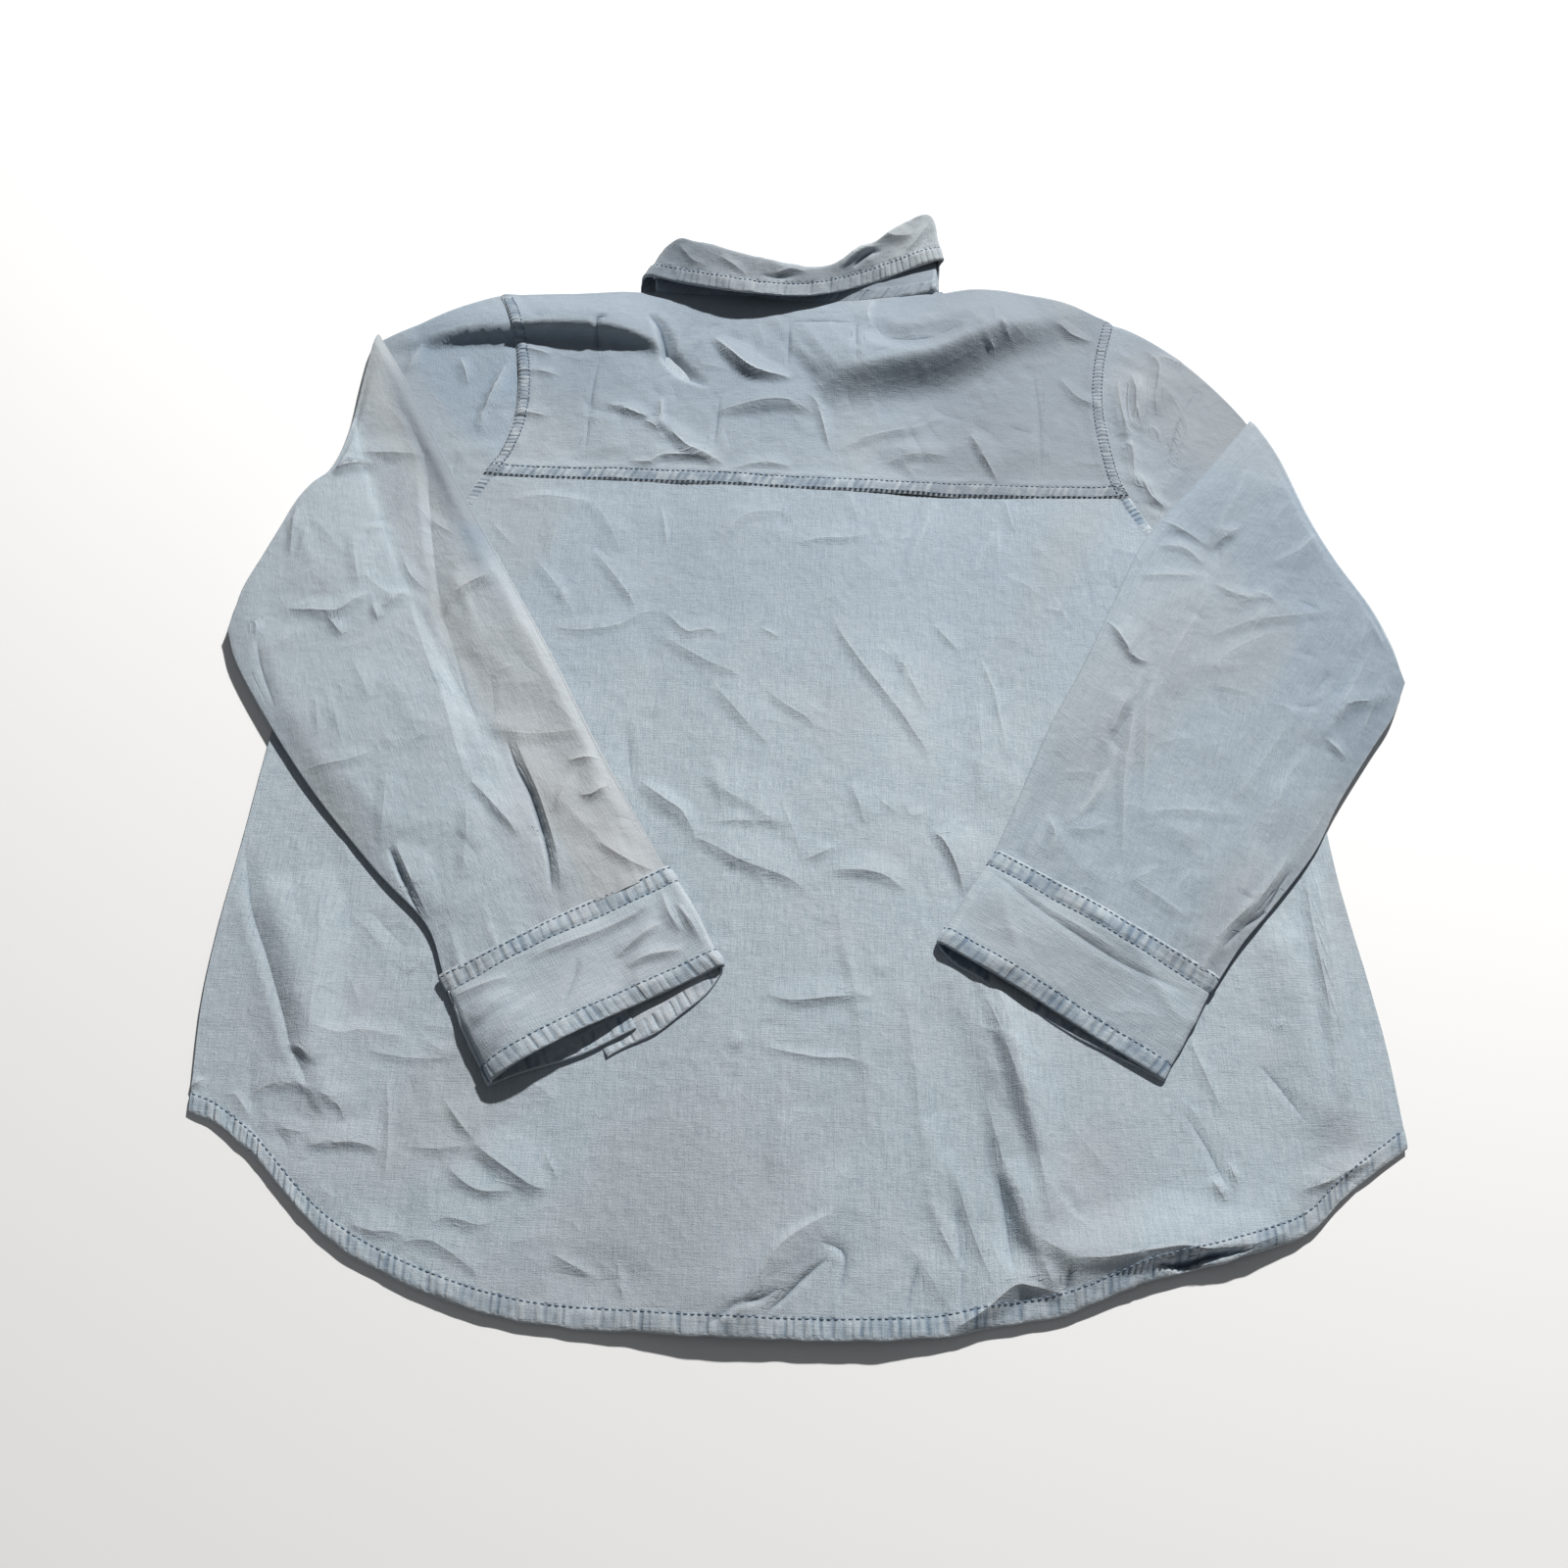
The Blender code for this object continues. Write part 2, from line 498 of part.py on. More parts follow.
def sleeve(name, form):
    """A flattened tube: near part on the floor, one fold, far part on the shirt."""
    side, puff = form["side"], form["puff"]
    hole = outward(armhole(form["armhole"])[::-1], -side)
    hole[-1, 0] += side * 2 * SEAM
    w = shares_of(hole)
    fold = along(form["fold"], np.interp(w, [0.0, w[-2], 1.0], [0.0, UNDERARM_SHARE, 1.0]))
    fold = fold - np.array([side * FOLD_TURN, 0.0])
    start, end = fold[0], fold[-1]
    rings = []
    for p in NEAR_STEPS:
        line = (1 - p) * hole + p * fold
        line[:, 1] += UNDERARM_BOW * p * (1 - p) * w ** 6
        x, y = line[:, 0], line[:, 1]
        rings.append(close_ring(line, line, np.full(len(w), FLOOR_LEVEL), upper(x, y)))
    x, y = fold[:, 0], fold[:, 1]
    under, top = sleeve_levels(x, y, w, 0.0, puff)
    for a in np.radians(FOLD_ANGLES):
        rise = 0.5 * (1 - np.cos(a))
        first = fold + np.array([side * FOLD_TURN * np.sin(a), 0.0])
        second = fold + np.array([side * FOLD_TURN_INNER * np.sin(a), 0.0])
        first_z = FLOOR_LEVEL + (top - FLOOR_LEVEL) * rise
        second_z = upper(x, y) + (under - upper(x, y)) * rise
        rings.append(close_ring(first, second, first_z, second_z, FOLD_EDGE_REACH))
    steps = np.linspace(0, 1, FAR_STEPS)
    inner = along([tuple(start)] + form["inner"][1:], steps)
    outer = along([tuple(end)] + form["outer"][1:], steps)
    bow = fold - (start + (end - start) * w[:, None])
    for s, a, b in zip(steps, inner, outer):
        line = a + (b - a) * w[:, None] + bow * (1 - s) ** 4
        under, top = sleeve_levels(line[:, 0], line[:, 1], w, s, puff)
        rings.append(close_ring(line, line, top, under))
    grid = np.array(rings)
    slants = [-1] * (len(w) + 1) + [1] * (grid.shape[1] - len(w) - 1)
    return cloth(name, grid, ring=True, even=False, slants=slants)


def cuff_axes(form):
    """Corner on the inner side of a cuff's seam, and its directions across and to the mouth."""
    sleeve_form = SLEEVES[form["sleeve"]]
    inner, outer = np.array(sleeve_form["inner"][-1]), np.array(sleeve_form["outer"][-1])
    across = (outer - inner) / np.linalg.norm(outer - inner)
    ahead = np.array([-across[1], across[0]]) * -sleeve_form["side"]
    middle = 0.5 * (inner + outer)
    return middle - across * CUFF_WIDTH / 2 + ahead * SEAM, across, ahead


def cuff_strip(q, form):
    """One section round a cuff at share q of its length: from its outer end underneath,
    over the top, to its inner end. Gives share across, slip ahead and height over the shirt."""
    puff = SLEEVES[form["sleeve"]]["puff"]
    gape = puff + (form["mouth"] - puff) * smooth(q)
    first, second, third = CUFF_OUTER, CUFF_INNER, CUFF_TOP
    rows = []
    for share in np.linspace(form["end"], 0.05, 5):
        rows.append((share, form["shear"] * q * smooth(share / form["end"]), first))
    rows.append((0.0, 0.0, first + 0.5 * (third - first)))
    for share in np.linspace(0.05, 0.95, 9):
        rows.append((share, 0.0, third + gape * np.sin(np.pi * share) ** 0.8))
    rows.append((1.0, 0.0, second + 0.5 * (third - second)))
    for share in np.linspace(0.96, form["end"] - 0.2, 5):
        rows.append((share, 0.0, second))
    return rows


def cuff(name, form):
    corner, across, ahead = cuff_axes(form)
    sections = []
    for q in np.linspace(0.0, 1.0, CUFF_SECTIONS):
        ring = []
        for share, slip, height in cuff_strip(q, form):
            spot = corner + across * CUFF_WIDTH * share + ahead * (CUFF_LENGTH * q + slip)
            ring.append([*spot, float(upper(*spot)) + height])
        sections.append(ring)
    grid = np.array(sections)
    made = cloth(name, grid)
    in_from_end = form["end"] - CUFF_BUTTON_INSET
    spot = corner + across * CUFF_WIDTH * in_from_end + ahead * 0.5 * (CUFF_LENGTH + form["shear"])
    height = float(upper(*spot)) + WALL / 2 + GAP
    button(name.replace("cuff", "cuff_button"), *spot, height, CUFF_BUTTON_RADIUS, CUFF_BUTTON_HEIGHT)
    return made


# ---------------------------------------------------------------- collar
def collar_stand():
    rows = [[], [], []]
    for place, nx, ny, nz, tx, ty, tz in STAND:
        base = float(upper(nx, ny)) + nz if place == "back" else nz
        neck, top = np.array([nx, ny, base]), np.array([tx, ty, tz])
        for row, share in zip(rows, (0.0, 0.5, 1.0)):
            row.append(neck + (top - neck) * share)
    return cloth("collar_stand", np.array(rows), CHAMBRAY_DARK, even=False)


def collar_fall():
    rows = [[], [], [], []]
    for row in FALL:
        root, crest, edge = (np.array(row[k: k + 3]) for k in (0, 3, 6))
        middle = 0.5 * (crest + edge)
        bulge = FALL_BULGE * min(1.0, max(0.0, edge[2] - FALL_FLAT))
        middle = middle + np.array([0.0, 0.0, bulge])
        for line, point in zip(rows, (root, crest, middle, edge)):
            line.append(point)
    return cloth("collar_fall", np.array(rows), CHAMBRAY_DARK, even=False)


# ---------------------------------------------------------------- the shirt
def clear_scene():
    for thing in list(bpy.data.objects):
        bpy.data.objects.remove(thing, do_unlink=True)


def centre_on_origin(objects):
    """Move the whole shirt so that the origin lies under the middle of its box."""
    depsgraph = bpy.context.evaluated_depsgraph_get()
    corners = []
    for thing in objects:
        mesh = thing.evaluated_get(depsgraph).to_mesh()
        points = np.empty(3 * len(mesh.vertices))
        mesh.vertices.foreach_get("co", points)
        corners.append(points.reshape(-1, 3))
        thing.evaluated_get(depsgraph).to_mesh_clear()
    points = np.vstack(corners)
    low, high = points.min(axis=0), points.max(axis=0)
    shift = np.array([-(low[0] + high[0]) / 2, -(low[1] + high[1]) / 2, -low[2]])
    for thing in objects:
        thing.location = shift


def main():
    clear_scene()
    front("front_right", 1)
    front("front_left", -1)
    back()
    yoke()
    for name, form in SLEEVES.items():
        sleeve(name, form)
    for name, form in CUFFS.items():
        cuff(name, form)
    collar_stand()
    collar_fall()
    for n in range(BUTTON_COUNT):
        button(f"button_{n + 1}", 0.0, BUTTON_FIRST - n * BUTTON_STEP, 0.0, BUTTON_RADIUS, BUTTON_HEIGHT)
    centre_on_origin(list(bpy.context.scene.objects))


main()
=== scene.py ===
"""The looks of a chambray shirt that lies face down, its sleeves folded over its back.

Plan sizes are centimetres: x from the middle of the back towards the wearer's right, y from
the hem to the collar, z up from the floor. Each sheet of cloth is a fine grid of points on
the form of its solid, and its folds and creases are laid on it from short tables.
"""

import bpy
import numpy as np
from mathutils import Matrix, Vector


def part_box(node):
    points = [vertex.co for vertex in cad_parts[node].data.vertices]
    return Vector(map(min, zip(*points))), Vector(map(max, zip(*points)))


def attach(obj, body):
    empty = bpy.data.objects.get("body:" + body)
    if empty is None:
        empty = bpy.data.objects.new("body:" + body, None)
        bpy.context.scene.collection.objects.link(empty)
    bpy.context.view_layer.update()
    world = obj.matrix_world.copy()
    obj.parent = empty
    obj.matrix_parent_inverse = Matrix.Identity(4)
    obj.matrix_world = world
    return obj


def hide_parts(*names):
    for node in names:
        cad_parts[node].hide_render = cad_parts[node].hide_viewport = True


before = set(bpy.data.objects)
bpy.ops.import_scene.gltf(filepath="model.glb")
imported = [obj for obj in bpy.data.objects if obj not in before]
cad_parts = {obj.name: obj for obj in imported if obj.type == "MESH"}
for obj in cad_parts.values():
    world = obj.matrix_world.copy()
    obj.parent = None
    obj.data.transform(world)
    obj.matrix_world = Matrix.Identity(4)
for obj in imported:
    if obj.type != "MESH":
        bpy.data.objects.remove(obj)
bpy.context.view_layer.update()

CM = 0.01

# The shirt's middle line and its highest front button place the plan in the frame.
BUTTON_FIRST = 23.1
button_low, button_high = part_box("button_1")
PLAN_ORIGIN = np.array([
    0.5 * (button_low.x + button_high.x),
    0.5 * (button_low.y + button_high.y) - BUTTON_FIRST * CM,
    0.0,
])

# Cloth
WALL = 0.12                 # of each layer of the body and the sleeves
GAP = 0.03                  # between two layers
FLOOR_LEVEL = 0.06          # the middle of the lowest layer
EDGE_LEVEL = 0.21           # the middle of the layer on it
THICK = 0.11                # of the cuffs' and the collar's cloth
STEP = 0.2                  # distance between a fine grid's points
EDGE_STEP = 0.13            # and near a sewn edge,
EDGE_ROWS = 1.5             # up to this far from it

# Body
BACK_LENGTH = 51.0
BACK_WIDTH = 61.0
YOKE_LENGTH = 16.0
HALF_CHEST = 30.6
HALF_YOKE = 20.4
UNDERARM = 5.0
YOKE_SEAM = 13.0
FRONT_TOP = 26.8
SOFT_RISE = 0.12            # how far the body's cloth stands up inside its sides,
RISE_WIDTH = 9.0            # and how far in it takes
RAISE = 0.23                # how far the buttons and the collar lift the cloth on them
MIDDLE_HALF = 5.0           # half of the strip that the buttons lift
COLLAR_HALF = 13.0          # and of the part that the collar lifts,
COLLAR_LOWEST = 16.6        # which ends here
OVERLAP = 1.6
FRONT_NECK = 21.5
NECK_HALF = 8.4
FRONT_LIFT = 0.6

# Sleeves and cuffs
CLEARANCE = 0.16            # under a folded sleeve's lower wall
LOFT = 0.04                 # between its two walls
SLEEVE_ACROSS = 90          # points across one layer of a sleeve
NEAR_RINGS = 36
FOLD_RINGS = 12
FAR_RINGS = 190
RIM = 5                     # points round the edge of a folded layer,
WIDE_RIM = 0.5              # and its widest reach
UNDERARM_BOW = 4.0          # how far its near part bows out at the underarm
UNDERARM_SHARE = 0.68       # of the fold, which the sleeve's upper part takes up
FOLD_TURN = 0.30            # the reach of the turn at its fold
CUFF_WIDTH = 13.4
CUFF_LENGTH = 6.4
CUFF_LAP = 0.25             # how far a cuff laps over its sleeve's end
CUFF_OUTER = 0.16           # height of a cuff's lower layer above the back,
CUFF_INNER = 0.34           # of its inner layer
CUFF_TOP = 0.42             # and of its upper layer
CUFF_EASE = 0.8             # the share of a sleeve's way where it starts to ease into it
CUFF_LOWER = 50             # points across a cuff's lower and inner layers,
CUFF_TURN = 6               # round each of its edges,
CUFF_UPPER = 90             # and across its upper layer
CUFF_SECTIONS = 46
COLLAR_COLUMNS = 420
TUCKED = 0.45               # how far the collar's stand is sewn in at the back

CREST = 0.24                # how far from its line a crease's crest is sharpened
FAR = 9.0                   # the distance from a crease where there is none

# Sewing
HEM_BAND = 1.05
SEAM_BAND = 1.05
ARM_BAND = 0.75
THREAD = 0.042              # a stitch's half width
STITCH = 0.25               # its length
STITCH_PITCH = 0.34
HEM_ROW = 0.92              # how far each row of stitches is off its edge
YOKE_ROWS = (0.18, 1.0)
ARM_ROWS = (0.14, 0.75)
SEAM_ROWS = (0.16, 1.05)
MOUTH_ROW = 0.95
FALL_ROW = 1.0

# Outlines, from the hem end to the collar end. Columns: x, y
SIDE_LEFT = [(-30.5, -28.8), (-31.2, -22.0), (-31.0, -12.0), (-30.8, -3.0), (-30.6, 5.0)]
SIDE_RIGHT = [(30.8, -29.0), (30.7, -23.0), (29.8, -13.0), (29.9, -4.0), (30.6, 5.0)]
HEM = [(-30.5, -28.8), (-29.0, -29.4), (-26.7, -31.0), (-23.6, -33.9), (-20.8, -35.7), (-16.8, -37.3),
       (-12.7, -38.3), (-8.6, -38.6), (-2.3, -38.8), (2.3, -38.8), (6.3, -38.6), (9.5, -38.0),
       (13.1, -37.3), (17.2, -35.7), (20.8, -34.8), (24.9, -33.4), (27.2, -31.5), (30.8, -29.0)]
ARMHOLE_LEFT = [(-30.6, 5.0), (-26.8, 6.4), (-23.3, 9.2), (-21.2, 13.2),
                (-20.0, 16.5), (-19.7, 20.5), (-20.4, 25.0), (-21.9, 29.7)]
ARMHOLE_RIGHT = [(30.6, 5.0), (26.8, 6.2), (23.0, 9.2), (21.0, 12.8),
                 (20.3, 16.0), (20.0, 20.5), (20.4, 24.5), (21.4, 28.7)]
YOKE_LINE = [(-21.2, 13.2), (-12.0, 13.0), (0.0, 12.4), (10.0, 12.4), (21.0, 12.8)]
SHOULDER_LEFT = [(-21.9, 29.7), (-16.0, 30.0), (-11.3, 30.1)]
BACK_NECK = [(-11.3, 30.1), (-8.0, 29.9), (-4.0, 29.9), (0.0, 29.4), (4.0, 29.7), (9.2, 30.6)]
SHOULDER_RIGHT = [(9.2, 30.6), (11.8, 31.1), (16.5, 30.7), (19.6, 29.8), (21.4, 28.7)]

# The large folds that everything lies in. Columns: crest points with their heights, width on
# the left of the crest's direction, width on its right
FOLDS = [
    ([(-27.0, 25.2, 0.3), (-24.0, 25.8, 0.9), (-20.8, 26.1, 1.05), (-17.5, 26.1, 1.3), (-14.0, 25.7, 1.3),
      (-11.4, 25.2, 0.8), (-9.6, 24.4, 0.2)], 3.6, 0.5),
    ([(0.5, 21.4, 0.3), (2.5, 22.4, 1.3), (8.0, 23.6, 1.8), (12.0, 26.0, 1.7), (16.2, 28.0, 0.9)],
     5.0, 1.4),
    ([(7.6, -36.0, 0.1), (14.0, -35.0, 0.25), (24.0, -32.4, 0.1)], 1.8, 1.0),
    ([(8.6, -21.0, 0.2), (10.6, -26.0, 0.4), (12.6, -34.5, 0.3)], 1.9, 1.1),
    ([(-2.5, -37.0, 0.2), (1.5, -32.5, 0.2)], 1.3, 1.2),
    ([(-28.5, -17.5, 0.3), (-24.5, -26.5, 0.3)], 1.4, 1.6),
    ([(26.2, -18.5, 0.4), (27.2, -27.0, 0.4)], 1.4, 1.6),
]

# Each sleeve runs from its armhole out to its fold, then back in from the fold to its cuff
# between an inner and an outer edge. crown is how far its upper layer stands up, by share of
# its width. facet is a flat beside the inner edge: its share of the width, its tone by the
# fold and by the cuff, which is painted light and shade, and how warm it is. edge is
# painted shade along the inner edge. deep lowers the near part's tone, head_highlight is a
# painted highlight, pale and warm, on the near part by the armhole, and bow moves the top of
# that part.
SLEEVES = {
    "sleeve_left": {
        "side": -1,
        "armhole": ARMHOLE_LEFT,
        "fold": [(-30.0, 25.1), (-30.2, 21.5), (-30.3, 18.0), (-30.5, 14.8), (-31.0, 12.7), (-31.9, 11.6),
                 (-32.6, 10.2), (-33.2, 8.2), (-33.9, 5.8), (-34.6, 3.4), (-35.1, 0.2)],
        "inner": [(-30.0, 25.1), (-27.5, 21.4), (-25.0, 16.7), (-22.4, 11.8), (-18.5, 5.0),
                  (-15.0, -1.2), (-11.6, -7.6), (-7.3, -15.1)],
        "outer": [(-35.1, 0.2), (-33.6, -2.4), (-30.5, -6.9), (-27.3, -11.0), (-23.2, -15.5),
                  (-20.0, -18.6), (-18.6, -21.6)],
        "crown": [(0.0, 0.16), (0.03, 0.34), (0.07, 0.38), (0.34, 0.04), (0.42, 0.18), (0.60, 0.38),
                  (0.80, 0.34), (0.95, 0.12), (1.0, 0.0)],
        "facet": (0.34, -0.1, 0.5, 0.7),
        "edge": 1.3,
        "deep": 0.0,
        "head_highlight": 0.0,
        "bow": (-0.1, 0.15),
    },
    "sleeve_right": {
        "side": 1,
        "armhole": ARMHOLE_RIGHT,
        "fold": [(29.9, 19.6), (31.1, 16.2), (32.2, 11.2), (33.4, 7.6), (34.9, 4.3), (35.7, 1.6),
                 (36.3, -1.2)],
        "inner": [(29.9, 19.6), (25.6, 14.4), (21.6, 9.4), (19.2, 4.6), (16.6, -0.8),
                  (14.2, -5.4), (12.2, -10.0), (10.7, -13.4)],
        "outer": [(36.3, -1.2), (34.8, -3.6), (33.2, -5.8), (30.6, -9.5), (28.6, -12.8), (25.6, -16.4),
                  (23.8, -18.4), (22.2, -20.6)],
        "crown": [(0.0, 0.0), (0.04, 0.16), (0.20, 0.30), (0.50, 0.40), (0.80, 0.36), (0.95, 0.20),
                  (1.0, 0.0)],
        "facet": (1.2, -0.62, -0.32, 0.1),
        "edge": 0.0,
        "deep": 0.45,
        "head_highlight": 0.40,
        "bow": (0.7, 0.9),
    },
}

# Each cuff's strip ends on its lower layer, at the share end of its width. gape, peak and
# flat shape the upper layer at the mouth, sag and back lower it and draw it in. slip,
# under_slip and wave push the lower layers out past the mouth. mouth_painted_light is painted
# light on the left cuff's lower layers at the mouth and painted shade on the right's; shade
# is a tone.
CUFFS = {
    "cuff_left": {
        "sleeve": "sleeve_left", "end": 0.56, "gape": 0.85, "peak": 3.0, "flat": 0.0, "sag": 0.17,
        "back": 0.24, "slip": 1.45, "under_slip": 0.75, "wave": 0.05, "mouth_painted_light": 0.6, "shade": 0.15,
    },
    "cuff_right": {
        "sleeve": "sleeve_right", "end": 0.60, "gape": 0.26, "peak": 0.7, "flat": 0.45, "sag": 0.08,
        "back": 0.06, "slip": 0.66, "under_slip": 0.42, "wave": 0.28, "mouth_painted_light": -0.7, "shade": -0.12,
    },
}

# The collar's stand. Columns: whether a station is on the fronts or on the back, x, y and z of
# its neck edge, x, y and z of its top edge. On the back, z at the neck is above the cloth.
STAND = [
    ("front", 1.2, 21.55, 0.44, 1.2, 24.60, 0.44),
    ("front", -2.6, 22.06, 0.44, -2.3, 24.95, 0.44),
    ("front", -5.35, 23.72, 0.31, -4.5, 26.50, 0.31),
    ("front", -8.30, 26.88, 0.29, -6.9, 28.90, 0.31),
    ("front", -10.1, 29.00, 0.32, -9.2, 31.20, 0.42),
    ("front", -11.1, 30.35, 0.60, -10.9, 32.20, 1.00),
    ("back", -10.4, 30.10, 0.04, -10.4, 32.50, 1.70),
    ("back", -8.0, 30.00, 0.0, -8.0, 32.30, 2.00),
    ("back", -4.0, 29.90, 0.0, -4.0, 31.50, 2.20),
    ("back", 0.0, 29.40, 0.0, 0.0, 31.40, 2.00),
    ("back", 4.0, 29.70, 0.0, 4.2, 32.20, 1.60),
    ("back", 8.0, 30.40, 0.04, 8.2, 33.40, 1.30),
    ("front", 8.80, 30.60, 0.70, 9.0, 33.30, 0.90),
    ("front", 8.60, 29.60, 0.34, 8.4, 31.60, 0.40),
    ("front", 8.30, 26.88, 0.29, 6.9, 28.90, 0.31),
    ("front", 5.35, 23.72, 0.29, 4.5, 26.50, 0.29),
    ("front", 2.6, 22.06, 0.29, 2.3, 24.95, 0.29),
    ("front", -1.2, 21.55, 0.29, -1.2, 24.60, 0.29),
]

# The collar's fall. Columns: x, y and z of its root on the stand, of its crest and of its edge
FALL = [
    (-0.9, 24.90, 0.09, -0.95, 24.50, 0.06, -4.3, 17.60, 0.06),
    (-2.3, 25.25, 0.09, -2.45, 24.85, 0.06, -7.0, 19.00, 0.06),
    (-4.4, 26.80, 0.09, -4.75, 26.45, 0.06, -9.5, 21.80, 0.06),
    (-6.7, 29.15, 0.09, -7.20, 28.80, 0.06, -11.5, 25.20, 0.06),
    (-9.2, 31.55, 0.18, -9.70, 31.40, 0.08, -12.0, 29.60, 0.06),
    (-11.0, 32.50, 1.05, -11.3, 32.40, 0.92, -12.1, 31.00, 0.45),
    (-10.4, 32.55, 1.76, -9.70, 33.20, 2.70, -11.5, 30.67, 1.60),
    (-8.0, 32.35, 2.06, -8.00, 32.92, 2.75, -8.6, 29.88, 1.70),
    (-4.0, 31.52, 2.26, -4.00, 31.62, 2.75, -4.4, 28.90, 2.00),
    (0.0, 31.45, 1.95, 0.30, 31.20, 2.25, 0.0, 29.23, 1.65),
    (4.15, 32.22, 1.66, 3.90, 33.15, 2.75, 4.0, 30.85, 1.35),
    (8.2, 33.42, 1.36, 7.95, 36.36, 2.90, 9.0, 33.12, 1.70),
    (8.9, 33.30, 1.00, 8.90, 34.60, 1.60, 9.0, 32.70, 1.10),
    (8.5, 31.90, 0.28, 8.70, 31.90, 0.12, 9.3, 30.10, 0.10),
    (6.7, 29.15, 0.09, 7.20, 28.80, 0.06, 11.5, 25.60, 0.06),
    (4.4, 26.80, 0.09, 4.75, 26.45, 0.06, 9.5, 21.80, 0.06),
    (2.3, 25.25, 0.09, 2.45, 24.85, 0.06, 7.0, 19.00, 0.06),
    (0.9, 24.90, 0.09, 0.95, 24.50, 0.06, 4.3, 17.60, 0.06),
]

